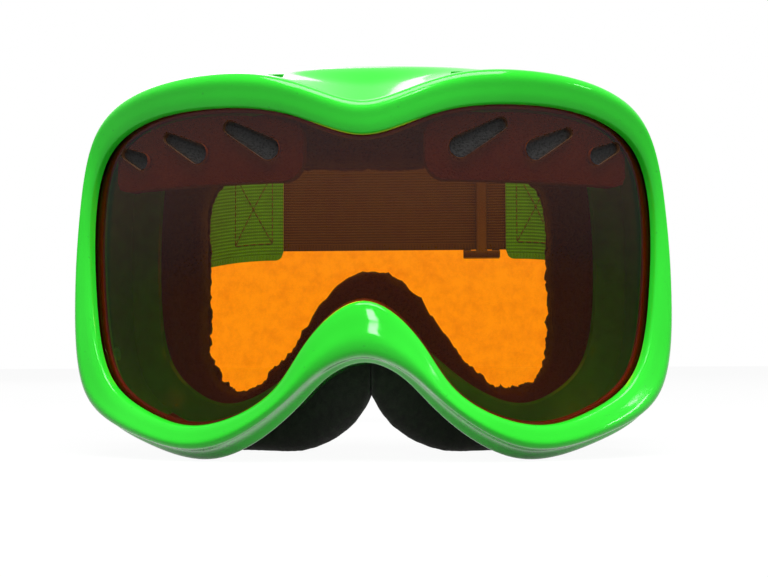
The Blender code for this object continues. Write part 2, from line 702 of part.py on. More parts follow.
class Path:
    """A line in plan that can be read by its length, with a sideways offset."""

    def __init__(self, points):
        self.points = np.array(points, float)
        self.along = np.concatenate([[0.0], np.cumsum(np.linalg.norm(np.diff(self.points, axis=0), axis=1))])
        self.length = self.along[-1]

    def at(self, distance, offset=0.0):
        def read(d):
            return np.array([np.interp(d, self.along, self.points[:, k]) for k in (0, 1)])
        way = read(min(distance + 0.5, self.length)) - read(max(distance - 0.5, 0.0))
        way /= hypot(*way)
        return read(distance) + offset * np.array([way[1], -way[0]])


def ribbon(line, height, thickness, round_start=0.0, round_end=0.0):
    """A closed strap along a plan line of points (x, y, y for the height), standing on edge."""
    flat = np.array([p[:2] for p in line])
    way = np.gradient(flat, axis=0)
    way /= np.linalg.norm(way, axis=1)[:, None]
    normal = np.stack([way[:, 1], -way[:, 0]], axis=1) * thickness / 2
    run = np.concatenate([[0.0], np.cumsum(np.linalg.norm(np.diff(flat, axis=0), axis=1))])
    verts = []
    for i, point in enumerate(line):
        half = height / 2
        for radius, past in ((round_start, run[i]), (round_end, run[-1] - run[i])):
            if past < radius:
                half -= radius - sqrt(radius ** 2 - (radius - past) ** 2)
        middle = strap_height_at(point[2])
        for sign, up in ((1, -1), (1, 1), (-1, 1), (-1, -1)):
            verts.append((*(flat[i] + sign * normal[i]), middle + up * half))
    count = len(line)
    faces = [(4 * i + k, 4 * i + (k + 1) % 4, 4 * i + 4 + (k + 1) % 4, 4 * i + 4 + k)
             for i in range(count - 1) for k in range(4)]
    faces += [(0, 1, 2, 3), tuple(4 * count - 4 + k for k in (3, 2, 1, 0))]
    return mesh_from("ribbon", verts, faces)


loop = Path(loop_path())
tab_at = loop.length - tab_end


def side_line():
    """Right green length: from its sewn end, round the clip's bar, along the loop to its tab."""
    turn = bar_radius + strap_slack + strap_thickness / 2
    layer = strap_thickness + clearance
    start = bar_y + 12
    line = [(hinge_x + 1.3 - layer, y, y) for y in np.linspace(bar_y + fold_length, start, 4)]
    line += [(hinge_x - 0.4 * turn - 0.3, bar_y + 6.5, bar_y + 6.5), (hinge_x - 0.85 * turn, bar_y + 3, bar_y + 3)]
    for a in np.linspace(pi, 2 * pi, 11):
        line.append((hinge_x + turn * cos(a), bar_y + turn * sin(a), bar_y))
    line += [(hinge_x + 0.93 * turn, bar_y + 3, bar_y + 3), (hinge_x + 0.68 * turn, bar_y + 7, bar_y + 7)]
    stops = np.concatenate([np.linspace(0, 40, 5), np.linspace(48, tab_at - 4, 18), [tab_at - 2.2, tab_at - 0.8, tab_at]])
    for stop in stops:
        x, y = loop.at(stop)
        line.append((x, y, y))
    return line


side_strap = ribbon(side_line(), side_height, strap_thickness, 0.0, tab_corner)
add_object("strap_side_left", mirrored(side_strap), green_webbing)
add_object("strap_side_right", side_strap, green_webbing)


def back_line():
    """Dark elastic: outside the green lengths at both ends, straight across the back."""
    half = []
    for stop in np.linspace(tab_at - overlap, loop.length - loop_flat, 12):
        x, y = loop.at(stop, elastic_offset)
        half.append((x, y, loop.at(stop)[1]))
    half[-1] = (half[-1][0], elastic_y, loop_back)
    return half + [(-x, y, rise) for x, y, rise in half[::-1]]


add_object("strap_back", ribbon(back_line(), strap_height, strap_thickness), dark_elastic)

# ---------------------------------------------------------------- adjuster on the elastic's straight back
def adjuster_object():
    middle_z = strap_height_at(loop_back)
    half = strap_height / 2 + adjuster_play
    end, side = half + adjuster_end, adjuster_length / 2 - adjuster_side_bar
    reach = adjuster_length / 2
    inner, outer = elastic_y - adjuster_gap, elastic_y + adjuster_gap
    low, high = inner - adjuster_bar, outer + adjuster_bar
    x = adjuster_x
    body = box_mesh("adjuster", (x - reach, low, middle_z - end), (x + reach, high, middle_z + end))
    buckle = add_object("adjuster", body, clip_plastic, (x, elastic_y, middle_z))
    bevel = buckle.modifiers.new("rounding", 'BEVEL')
    bevel.width = adjuster_rounding * 0.001
    bevel.segments = 2
    bevel.limit_method = 'ANGLE'
    bevel.angle_limit = radians(50)
    boxes = [((x - 20, inner, middle_z - half), (x + 20, outer, middle_z + half)),
             ((x - side, outer - 1, middle_z - half), (x + side, high + 3, middle_z + half)),
             ((x - 20, low - 3, middle_z - half), (x - adjuster_centre_bar / 2, inner + 1, middle_z + half)),
             ((x + adjuster_centre_bar / 2, low - 3, middle_z - half), (x + 20, inner + 1, middle_z + half))]
    for k, (near, far) in enumerate(boxes):
        boolean(buckle, add_cutter("adjuster_cut_%d" % k, box_mesh("cut", near, far)), 'DIFFERENCE')


adjuster_object()
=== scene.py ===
import bpy
import bmesh
import numpy as np
from math import asin, atan2, cos, hypot, pi, radians, sin, sqrt, tan
from mathutils import Matrix, Vector, noise


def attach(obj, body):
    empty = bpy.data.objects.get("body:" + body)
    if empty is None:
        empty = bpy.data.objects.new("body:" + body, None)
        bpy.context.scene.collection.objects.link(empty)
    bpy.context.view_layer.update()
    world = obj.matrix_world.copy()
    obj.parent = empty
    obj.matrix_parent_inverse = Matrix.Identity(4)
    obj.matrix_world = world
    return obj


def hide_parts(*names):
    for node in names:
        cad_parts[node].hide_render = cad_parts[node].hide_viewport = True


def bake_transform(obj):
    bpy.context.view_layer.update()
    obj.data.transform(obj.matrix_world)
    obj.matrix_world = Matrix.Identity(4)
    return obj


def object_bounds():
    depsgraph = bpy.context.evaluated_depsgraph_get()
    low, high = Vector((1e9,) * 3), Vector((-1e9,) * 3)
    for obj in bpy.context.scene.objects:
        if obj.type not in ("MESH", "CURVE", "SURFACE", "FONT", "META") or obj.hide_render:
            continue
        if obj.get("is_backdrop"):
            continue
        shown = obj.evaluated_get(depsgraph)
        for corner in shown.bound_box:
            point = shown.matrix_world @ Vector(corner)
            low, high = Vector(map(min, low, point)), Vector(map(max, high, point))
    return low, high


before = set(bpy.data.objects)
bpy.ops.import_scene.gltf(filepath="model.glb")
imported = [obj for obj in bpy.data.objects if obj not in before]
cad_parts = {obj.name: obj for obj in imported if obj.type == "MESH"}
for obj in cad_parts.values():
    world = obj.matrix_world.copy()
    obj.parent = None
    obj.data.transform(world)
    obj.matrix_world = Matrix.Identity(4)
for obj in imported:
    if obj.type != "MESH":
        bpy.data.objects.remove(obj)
cadLow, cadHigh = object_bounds()
print("frame loaded:", len(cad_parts), "nodes")

# Everything is laid out in millimetres: x across, y back from the lens, z up from the lens's middle.
layout = {
    "wrapRadius": 130.0,      # cylinder of the rim's front and the lens
    "frontCrown": 2.3,        # how far the rim's crown stands in front of it
    "padFloor": -53.9,        # lowest line of the nose pads
    "hingeX": 83.8,
    "hingeY": 65.5,
    "strapMiddle": 8.0,       # height of the strap at the clip's bar
    "strapRise": 14.0,        # degrees that the strap climbs towards the back
    "barBack": 14.6,
}
wrapRadius, hingeX, hingeY = layout["wrapRadius"], layout["hingeX"], layout["hingeY"]
barY = hingeY + layout["barBack"]
shiftY = -layout["frontCrown"] - cadLow[1] * 1000
floorZ = layout["padFloor"] - cadLow[2] * 1000


def toWorld(points):
    return (np.asarray(points, float) - [0.0, shiftY, floorZ]) * 0.001


# right half from the top middle to the nose arch; the left half mirrors it
openingStations = [(0, 32.0), (12, 35.0), (25, 39.2), (46, 40.9), (66, 38.6), (80, 31.0), (86.2, 14.0),
                   (85.5, -9.0), (79, -31.0), (63.5, -41.2), (45, -44.4), (25, -35.8), (16.5, -24.3),
                   (8.5, -15.4), (0, -11.8)]
rimStations = [(0, 41.5), (10, 44.0), (24.3, 48.8), (46, 50.5), (69.3, 47.5), (85, 37.5), (92, 13.6),
               (94.4, -9.9), (89.2, -37.5), (68, -50.0), (42.5, -53.5), (21.7, -42.3), (13.8, -34.8),
               (7.6, -30.1), (0, -27.9)]
lipWidth = [0.5, 0.5, 0.5, 0.6, 1.2, 2.4, 3.1, 3.1, 2.8, 2.8, 2.9, 2.3, 1.9, 1.6, 1.5]
lipDepth = [3.0, 3.0, 3.0, 3.0, 3.0, 3.0, 3.0, 3.0, 4.0, 5.5, 6.0, 6.0, 6.0, 6.0, 6.0]
flangeStations = [(0, 27, 55.8), (11, 27.5, 55.8), (25, 29.5, 55.5), (44, 35, 54.0), (61, 44, 50.0),
                  (72, 53, 40.5), (77.5, 60, 18), (78, 62.5, -8), (74, 61, -33), (60, 55, -46.5),
                  (42, 47, -50.5), (22, 37.5, -41.5), (15, 33.2, -35.4), (8, 29.2, -30.3), (0, 27.5, -28.2)]
flangeHoleStations = [(0, 26, 44), (10.5, 26.5, 44), (23.5, 28.5, 43.5), (41, 33.5, 42.0), (54, 41, 38),
                      (61.5, 48, 30.5), (65, 54, 14), (65.5, 56, -8), (62, 55, -27), (53, 50.5, -36.5),
                      (41, 45, -39.5), (27.0, 37.5, -33.0), (18.5, 33.2, -26.0), (9.5, 29.2, -19.5),
                      (0, 27.5, -17.0)]
foamHoleStations = [(0, 28.8), (10, 29), (21, 29.6), (34, 30), (44.5, 28), (51, 21.5), (52.8, 8), (53, -9),
                    (52.5, -26), (47, -34.5), (38.5, -37), (27.5, -29), (19, -17.5), (9.5, -6.2), (0, -2.2)]


def mirrorStations(stations):
    right = np.array(stations, float)
    left = right[-2:0:-1] * np.array([-1.0] + [1.0] * (right.shape[1] - 1))
    return np.vstack([right, left])


def mirrorValues(values):
    return np.array(list(values) + list(values[-2:0:-1]), float).reshape(-1, 1)


rimClosed = mirrorStations(rimStations)
middleClosed = (rimClosed + mirrorStations(openingStations)) / 2
knots = np.concatenate([[0.0], np.cumsum(np.sqrt(np.linalg.norm(
    np.roll(middleClosed, -1, axis=0) - middleClosed, axis=1)))])
bottomStation = len(rimStations) - 1


def closedSpline(points, at):
    # periodic cubic through the points, and its slope
    count = len(points)
    step = np.diff(knots)
    before = np.roll(step, 1)
    system = np.zeros((count, count))
    for i in range(count):
        system[i, i - 1] += before[i]
        system[i, i] += 2 * (before[i] + step[i])
        system[i, (i + 1) % count] += step[i]
    rise = (np.roll(points, -1, axis=0) - points) / step[:, None]
    bend = np.linalg.solve(system, 6 * (rise - np.roll(rise, 1, axis=0)))
    span = np.clip(np.searchsorted(knots, at, side="right") - 1, 0, count - 1)
    following = (span + 1) % count
    width = step[span][:, None]
    past = (at - knots[span])[:, None]
    left = width - past
    value = (bend[span] * left ** 3 + bend[following] * past ** 3) / (6 * width)
    value += (points[span] / width - bend[span] * width / 6) * left
    value += (points[following] / width - bend[following] * width / 6) * past
    slope = (bend[following] * past ** 2 - bend[span] * left ** 2) / (2 * width)
    slope += (points[following] - points[span]) / width - (bend[following] - bend[span]) * width / 6
    return value, slope


def evenSections(count):
    fine = np.linspace(0, knots[-1], 4001)
    curve = closedSpline(middleClosed, fine)[0]
    along = np.concatenate([[0.0], np.cumsum(np.linalg.norm(np.diff(curve, axis=0), axis=1))])
    return np.interp(np.arange(count) * along[-1] / count, along, fine)


def flatCurve(stations, outward, at):
    # in the unrolled plane, moved outwards along its normal
    curve, slope = closedSpline(mirrorStations(stations), at)
    normal = np.stack([-slope[:, 1], slope[:, 0]], axis=1)
    normal /= np.linalg.norm(normal, axis=1)[:, None]
    return curve + normal * np.reshape(outward, (-1, 1))


def wrap(flat, depth):
    depth = np.broadcast_to(np.reshape(depth, -1), (len(flat),))
    turn = flat[:, 0] / wrapRadius
    return np.stack([(wrapRadius - depth) * np.sin(turn), wrapRadius - (wrapRadius - depth) * np.cos(turn),
                     flat[:, 1]], axis=1)


def spaceCurve(stations, at):
    return closedSpline(mirrorStations(stations), at)[0]


def between(a, b, share):
    return a + (b - a) * share


def inward(edge, hole, distance):
    way = hole - edge
    return edge + way / np.linalg.norm(way, axis=1)[:, None] * distance


def back(points, distance):
    return points + np.array([0.0, distance, 0.0])


def newMesh(name, verts, faces):
    mesh = bpy.data.meshes.new(name)
    mesh.from_pydata([tuple(p) for p in verts], [], faces)
    return mesh


def newObject(name, mesh):
    made = bpy.data.objects.new(name, mesh)
    bpy.context.scene.collection.objects.link(made)
    return made


def reshape(mesh, *steps):
    # each step edits the mesh's shape, then the mesh takes it back
    shape = bmesh.new()
    shape.from_mesh(mesh)
    for step in steps:
        step(shape)
    shape.to_mesh(mesh)
    shape.free()
    return mesh


def faceOut(shape):
    bmesh.ops.recalc_face_normals(shape, faces=shape.faces)


def mirrorShape(shape):
    for vertex in shape.verts:
        vertex.co.x = -vertex.co.x
    bmesh.ops.reverse_faces(shape, faces=shape.faces)


def placeMesh(mesh):
    # from layout millimetres to the shared frame's metres
    for vertex in mesh.vertices:
        vertex.co = Vector(toWorld(vertex.co))
    return mesh


def linkMesh(name, mesh, angle, looks):
    for one in looks:
        mesh.materials.append(one)
    for face in mesh.polygons:
        face.use_smooth = True
    mesh.set_sharp_from_angle(angle=radians(angle))
    return newObject(name, mesh)


def makeObject(name, verts, faces, angle=35.0, uvs=None, looks=()):
    # verts in layout millimetres; a closed mesh is turned to face outwards
    mesh = newMesh(name, toWorld(verts), faces)
    if uvs is not None:
        layer = mesh.uv_layers.new(name="length")
        for loop in mesh.loops:
            layer.data[loop.index].uv = uvs[loop.vertex_index]
    return linkMesh(name, reshape(mesh, faceOut), angle, looks)


def mirrorObject(source, name):
    mesh = reshape(source.data.copy(), mirrorShape)
    mesh.name = name
    return newObject(name, mesh)


def enter(piece, body, node=None):
    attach(piece, body)
    if node:
        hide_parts(node)


def softRings(keys, steps, corners=()):
    # rings between key rings along a smooth closed profile; the profile turns sharply at the corners
    keys = np.array(keys)
    count = len(keys)
    gap = np.linalg.norm(np.roll(keys, -1, axis=0) - keys, axis=2)[:, :, None] + 1e-6
    rise = (np.roll(keys, -1, axis=0) - keys) / gap
    before, gapBefore = np.roll(rise, 1, axis=0), np.roll(gap, 1, axis=0)
    leaving = (before * gap + rise * gapBefore) / (gap + gapBefore)
    arriving = leaving.copy()
    for i in corners:
        leaving[i], arriving[i] = rise[i], before[i]
    rings = []
    for i in range(count):
        j = (i + 1) % count
        for t in np.arange(steps[i]) / steps[i]:
            a, b = 2 * t ** 3 - 3 * t ** 2 + 1, t ** 3 - 2 * t ** 2 + t
            c, d = 3 * t ** 2 - 2 * t ** 3, t ** 3 - t ** 2
            rings.append(a * keys[i] + b * gap[i] * leaving[i] + c * keys[j] + d * gap[i] * arriving[j])
    return np.array(rings)


def tubeFaces(rows, columns, closeRows=True):
    r = np.arange(rows if closeRows else rows - 1)
    r, c = [a.ravel() for a in np.meshgrid(r, np.arange(columns), indexing="ij")]
    nextRow, nextColumn = (r + 1) % rows, (c + 1) % columns
    return np.stack([r * columns + c, r * columns + nextColumn, nextRow * columns + nextColumn,
                     nextRow * columns + c], axis=1).tolist()


def endedTube(rows, sides):
    # an open tube with a face over each end
    last = (rows - 1) * sides
    return tubeFaces(rows, sides, False) + [tuple(range(sides)), tuple(last + k for k in reversed(range(sides)))]


def loftObject(name, rings, looks, angle=35.0):
    rings = np.asarray(rings)
    return makeObject(name, rings.reshape(-1, 3), tubeFaces(*rings.shape[:2]), angle, looks=looks)


def prismMesh(outline, lift):
    count = len(outline)
    verts = [lift(p, end) for end in (0, 1) for p in outline]
    faces = [tuple(range(count)), tuple(range(2 * count - 1, count - 1, -1))]
    faces += [(i, (i + 1) % count, count + (i + 1) % count, count + i) for i in range(count)]
    return reshape(newMesh("prism", verts, faces), faceOut)


def boxMesh(low, high):
    outline = [(low[0], low[1]), (high[0], low[1]), (high[0], high[1]), (low[0], high[1])]
    return prismMesh(outline, lambda p, end: (p[0], p[1], high[2] if end else low[2]))


def joinMeshes(meshes):
    joined = bpy.data.meshes.new("joined")
    shape = bmesh.new()
    for mesh in meshes:
        shape.from_mesh(mesh)
    shape.to_mesh(joined)
    shape.free()
    return joined


def cutMesh(mesh, tool):
    # one exact Boolean, applied
    pair = [newObject("cutPart", one) for one in (mesh, tool)]
    step = pair[0].modifiers.new("cut", "BOOLEAN")
    step.operation, step.solver, step.object = "DIFFERENCE", "EXACT", pair[1]
    result = bpy.data.meshes.new_from_object(pair[0].evaluated_get(bpy.context.evaluated_depsgraph_get()))
    for one in pair:
        bpy.data.objects.remove(one, do_unlink=True)
    return result


def bevelMesh(mesh, width, segments=2, over=30.0):
    def soften(shape):
        bmesh.ops.remove_doubles(shape, verts=shape.verts, dist=1e-4)
        bmesh.ops.dissolve_limit(shape, angle_limit=radians(1), verts=shape.verts, edges=shape.edges)
        edges = [e for e in shape.edges if len(e.link_faces) == 2 and e.calc_face_angle(0) > radians(over)]
        bmesh.ops.bevel(shape, geom=edges, offset=width, segments=segments, profile=0.5, affect="EDGES",
                        clamp_overlap=True)
    return reshape(mesh, soften, faceOut)


def roughen(obj, amount, size):
    # push points along their normals by smooth noise; amount and size in millimetres
    mesh = obj.data
    normals = [v.normal.copy() for v in mesh.vertices]
    for vertex, normal in zip(mesh.vertices, normals):
        push = noise.fractal(vertex.co * (1000 / size), 1.0, 2.0, 2)
        vertex.co = vertex.co + normal * (push * amount * 0.001)


def operator(operation, turned=False):
    def apply(self, other):
        return self.maths(operation, *((other, self) if turned else (self, other)))
    return apply


class Value:
    # a socket; each operator adds its Math node
    def __init__(self, look, socket):
        self.look, self.socket = look, socket

    def maths(self, operation, *terms):
        return self.look.add("ShaderNodeMath", {"operation": operation}, dict(enumerate(terms)))

    __add__, __radd__ = operator("ADD"), operator("ADD", True)
    __sub__, __rsub__ = operator("SUBTRACT"), operator("SUBTRACT", True)
    __mul__, __rmul__ = operator("MULTIPLY"), operator("MULTIPLY", True)
    __truediv__, __rtruediv__ = operator("DIVIDE"), operator("DIVIDE", True)

    def __abs__(self):
        return self.maths("ABSOLUTE", self)

    def cosine(self):
        return self.maths("COSINE", self)

    def fraction(self):
        return self.maths("FRACT", self)


class Look:
    # the nodes of one material, or of the world
    def __init__(self, owner):
        self.owner = bpy.data.materials.new(owner) if isinstance(owner, str) else owner
        self.owner.use_nodes = True
        self.tree = self.owner.node_tree
        self.tree.nodes.clear()

    def add(self, kind, settings=None, sockets=None, output=0):
        node = self.tree.nodes.new(kind)
        for key, value in (settings or {}).items():
            setattr(node, key, value)
        for key, value in (sockets or {}).items():
            if isinstance(value, Value):
                self.tree.links.new(value.socket, node.inputs[key])
            else:
                node.inputs[key].default_value = value
        return Value(self, node.outputs[output]) if len(node.outputs) else None

    def where(self, output="Object"):
        return self.add("ShaderNodeTexCoord", output=output)

    def noise(self, scale, detail=3.0, where=None, roughness=0.5):
        return self.add("ShaderNodeTexNoise", {}, {"Vector": where or self.where(), "Scale": scale,
                                                  "Detail": detail, "Roughness": roughness})

    def mix(self, factor, a, b):
        def full(colour):
            return colour if isinstance(colour, Value) else (*colour, 1.0)
        return self.add("ShaderNodeMix", {"data_type": "RGBA"}, {0: factor, 6: full(a), 7: full(b)}, 2)

    def wave(self, x):
        # 1 to 0 and back, once for each unit of x
        return 0.5 + 0.5 * (x * (2 * pi)).cosine()

    def step(self, value, low, high):
        return self.add("ShaderNodeMapRange", {"interpolation_type": "SMOOTHSTEP"},
                        {"Value": value, "From Min": low, "From Max": high})

    def part(self, vector, axis):
        return self.add("ShaderNodeSeparateXYZ", {}, {0: vector}, axis)

    def bump(self, height, distance, strength=1.0):
        return self.add("ShaderNodeBump", {}, {"Height": height, "Distance": distance, "Strength": strength})

    def blend(self, share, first, second):
        return self.add("ShaderNodeMixShader", {}, {0: share, 1: first, 2: second})

    def principled(self, **sockets):
        # baseColor is written to Base Color, and so on
        named = {}
        for key, value in sockets.items():
            name = "".join(" " + letter if letter.isupper() else letter for letter in key)
            named[name[0].upper() + name[1:]] = (*value, 1.0) if isinstance(value, tuple) else value
        return self.add("ShaderNodeBsdfPrincipled", {}, named)

    def finish(self, shader, kind="Material"):
        self.add("ShaderNodeOutput" + kind, {}, {"Surface": shader})
        return self.owner


print("tools ready")


# glossy rim
rimFinish = {"green": (0.018, 0.60, 0.018), "paler": (0.028, 0.70, 0.030), "roughness": 0.07, "grime": 0.07}


def rimLook():
    look = Look("glossGreen")
    cloud = look.noise(18, 4)
    fine = look.noise(420, 5, roughness=0.7)
    specks = look.step(look.noise(900, 2), 0.70, 0.76)
    base = look.mix(look.step(cloud, 0.35, 0.7), rimFinish["green"], rimFinish["paler"])
    base = look.mix(specks * 0.35, base, (0.02, 0.22, 0.03))
    roughness = rimFinish["roughness"] + rimFinish["grime"] * look.step(cloud, 0.4, 0.75) + 0.04 * fine
    normal = look.bump(look.noise(130, 3), 0.00010, 0.35)
    shader = look.principled(baseColor=base, roughness=roughness, normal=normal, specularTint=(0.30, 0.88, 0.32),
                             coatWeight=0.14, coatRoughness=0.03)
    return look.finish(shader)


# amber lens: clear glass that tints what is behind it, with a violet mirror towards the brow
lensFinish = {"tint": (1.0, 0.53, 0.006), "stain": (0.95, 0.465, 0.004), "mirror": (0.44, 0.42, 0.48),
              "browMirror": 0.034, "cheekMirror": 0.012, "edge": (0.16, 0.075, 0.035)}


def lensLook():
    look = Look("amberLens")
    clear = look.add("ShaderNodeBsdfTransparent", {}, {"Color": (*lensFinish["tint"], 1.0)})
    stained = look.add("ShaderNodeBsdfTransparent", {}, {"Color": (*lensFinish["stain"], 1.0)})
    blotch = look.step(look.noise(260, 6, roughness=0.8), 0.38, 0.70)
    clear = look.blend(blotch, clear, stained)
    height = look.part(look.where(), 2)
    smear = look.noise(22, 3)
    brow = look.step(height + 0.012 * smear, 0.046, 0.098)
    share = lensFinish["cheekMirror"] + (lensFinish["browMirror"] - lensFinish["cheekMirror"]) * brow
    edge = look.add("ShaderNodeLayerWeight", {}, {"Blend": 0.5}, 1)
    share = share + 0.10 * edge * edge * edge
    dust = look.step(look.noise(1500, 2), 0.72, 0.80)
    roughness = 0.03 + 0.05 * smear + 0.25 * dust
    mirror = look.principled(baseColor=lensFinish["mirror"], metallic=1.0, roughness=roughness)
    return look.finish(look.blend(share, clear, mirror))


def lensEdgeLook():
    look = Look("lensEdge")
    streak = look.noise(700, 3)
    base = look.mix(streak, lensFinish["edge"], (0.07, 0.030, 0.012))
    return look.finish(look.principled(baseColor=base, roughness=0.25 + 0.2 * streak,
                                       normal=look.bump(streak, 0.0001)))


# the first foam colour is painted shade in the pores, the second the colour of the cell walls
foamFinish = {"pore": 1150.0, "dark": (0.004, 0.004, 0.004), "wall": (0.026, 0.025, 0.025)}


def foamLook(name, pore, dark, wall, depth=0.0004):
    look = Look(name)
    cell = look.add("ShaderNodeTexVoronoi", {"feature": "F1"}, {"Vector": look.where(), "Scale": pore})
    small = look.add("ShaderNodeTexVoronoi", {"feature": "F1"}, {"Vector": look.where(), "Scale": pore * 2.1})
    height = 0.6 * look.step(cell, 0.12, 0.62) + 0.4 * look.step(small, 0.1, 0.6)
    cloud = look.noise(60, 3)
    # the low pits of the cells take the darker colour: painted shade in the pores, mixed with random cloud tone
    base = look.mix(look.step(height + 0.25 * cloud, 0.35, 1.05), dark, wall)
    return look.finish(look.principled(baseColor=base, roughness=0.88 + 0.1 * cloud,
                                       normal=look.bump(height, depth, 0.9)))


# the first colour is painted shade deep in the pile, the second the colour of the raised fibre tips
fleeceFinish = {"pile": (0.008, 0.007, 0.007), "tips": (0.044, 0.040, 0.036)}


def fleeceLook():
    look = Look("fleece")
    hair = look.noise(2600, 4, roughness=0.8)
    tuft = look.noise(420, 3)
    nap = look.noise(55, 2)
    fibre = 0.55 * hair + 0.45 * tuft
    # low fibre relief takes the darker colour: painted shade deep in the pile, with random tone from the nap
    base = look.mix(look.step(fibre + 0.18 * nap, 0.40, 0.82), fleeceFinish["pile"], fleeceFinish["tips"])
    return look.finish(look.principled(baseColor=base, roughness=0.92 + 0.08 * hair, sheenWeight=0.35,
                                       sheenRoughness=0.5, sheenTint=(0.55, 0.53, 0.52),
                                       normal=look.bump(fibre, 0.0005, 0.8)))


def rubberLook():
    look = Look("sealRubber")
    grain = look.noise(1800, 3)
    base = look.mix(grain, (0.008, 0.008, 0.009), (0.020, 0.020, 0.021))
    return look.finish(look.principled(baseColor=base, roughness=0.45 + 0.2 * grain,
                                       normal=look.bump(grain, 0.00008)))


# woven straps: u runs along the strap and v across it, both in metres
# low is painted shade between the yarns, high the colour of the yarn tops
greenWeave = {"rib": 0.00135, "pick": 0.0009, "slant": 0.55, "low": (0.016, 0.28, 0.018),
              "high": (0.045, 0.52, 0.045), "edge": (0.035, 0.42, 0.035), "halfHeight": 0.0215}
darkWeave = {"rib": 0.0011, "pick": 0.0008, "slant": 0.5, "low": (0.006, 0.006, 0.007),
             "high": (0.045, 0.045, 0.048), "edge": (0.028, 0.028, 0.030), "halfHeight": 0.0175}


def weaveLook(name, weave):
    look = Look(name)
    place = look.where("UV")
    along, across = look.part(place, 0), look.part(place, 1)
    wobble = 0.00025 * look.noise(90, 2, place)
    column = (across + wobble) / weave["rib"]
    ridge = look.wave(column + 0.5)
    lean = abs(column.fraction() - 0.5)
    yarn = look.wave(along / weave["pick"] + lean * (2 * weave["slant"]))
    height = 0.55 * ridge + 0.45 * ridge * yarn + 0.12 * look.noise(3500, 2, place)
    selvedge = look.step(abs(across), weave["halfHeight"] - 0.0024, weave["halfHeight"] - 0.0019)
    hem = look.wave(along / (weave["pick"] * 1.5))
    height = height * (1 - selvedge) + (0.35 + 0.55 * hem) * selvedge
    worn = look.noise(35, 3, place)
    # the low parts of the weave take the darker colour: painted shade between the yarns, shifted by random wear
    base = look.mix(look.step(height + 0.25 * (worn - 0.5), 0.1, 0.95), weave["low"], weave["high"])
    base = look.mix(selvedge * 0.5, base, weave["edge"])
    return look.finish(look.principled(baseColor=base, roughness=0.72 + 0.2 * worn, sheenWeight=0.25,
                                       sheenRoughness=0.4, normal=look.bump(height, 0.00022, 0.7)))


def threadLook(name, dark, light):
    look = Look(name)
    twist = look.add("ShaderNodeTexWave", {"wave_type": "BANDS", "bands_direction": "DIAGONAL"},
                     {"Vector": look.where(), "Scale": 900.0, "Distortion": 1.0})
    # the grooves of the twist take the darker colour: painted shade between the plies
    return look.finish(look.principled(baseColor=look.mix(twist, dark, light), roughness=0.55 + 0.2 * twist,
                                       normal=look.bump(twist, 0.0001)))


def mouldedLook():
    look = Look("mouldedPlastic")
    grain = look.noise(2400, 3)
    scuff = look.step(look.noise(160, 5, roughness=0.75), 0.56, 0.72)
    base = look.mix(0.35 * grain + 0.4 * scuff, (0.010, 0.010, 0.011), (0.050, 0.050, 0.053))
    return look.finish(look.principled(baseColor=base, roughness=0.34 + 0.16 * grain + 0.18 * scuff,
                                       normal=look.bump(grain, 0.00007, 0.6)))


def steelLook():
    look = Look("pinSteel")
    place = look.add("ShaderNodeVectorMath", {"operation": "MULTIPLY"}, {0: look.where(), 1: (300.0, 300.0, 9000.0)})
    turned = look.noise(1.0, 3, place)
    base = look.mix(turned, (0.50, 0.50, 0.52), (0.72, 0.72, 0.74))
    return look.finish(look.principled(baseColor=base, metallic=1.0, roughness=0.22 + 0.2 * turned,
                                       normal=look.bump(turned, 0.00003)))


glossGreen, amberLens, lensEdge = rimLook(), lensLook(), lensEdgeLook()
# in each foam the first colour is painted shade in the pores
openFoam = foamLook("openFoam", foamFinish["pore"], foamFinish["dark"], foamFinish["wall"])
ventFoam = foamLook("ventFoam", 1500.0, (0.001, 0.001, 0.001), (0.020, 0.020, 0.020))
fleece, sealRubber, moulded, steel = fleeceLook(), rubberLook(), mouldedLook(), steelLook()
greenWebbing, darkElastic = weaveLook("greenWebbing", greenWeave), weaveLook("darkElastic", darkWeave)
# the first colour of each thread is painted shade in the grooves of its twist
greenThread = threadLook("greenThread", (0.010, 0.13, 0.012), (0.040, 0.40, 0.040))
darkThread = threadLook("darkThread", (0.010, 0.010, 0.011), (0.070, 0.070, 0.074))
print("materials ready")


# rim: one closed profile carried round the lens opening
rim = {"sections": 288, "lensDepth": 2.4, "crown": 2.3, "wall": 2.2, "flange": 2.0, "groove": 3.8, "ledgeFront": 5.4,
       "ledgeBack": 7.0}


def rimEdges(at):
    lipIn = closedSpline(mirrorValues(lipWidth), at)[0][:, 0]
    lipBack = closedSpline(mirrorValues(lipDepth), at)[0][:, 0]
    return flatCurve(rimStations, 0.0, at), flatCurve(rimStations, -lipIn, at), lipBack


def wallCurves(at):
    lipBack = rimEdges(at)[2]
    flangeEdge = spaceCurve(flangeStations, at)
    holeEdge = spaceCurve(flangeHoleStations, at)
    outerFront = wrap(flatCurve(rimStations, -0.5, at), lipBack + 2.2)
    innerFront = wrap(flatCurve(rimStations, -0.5 - rim["wall"], at), rim["ledgeBack"])
    return outerFront, flangeEdge, innerFront, inward(flangeEdge, holeEdge, rim["wall"])


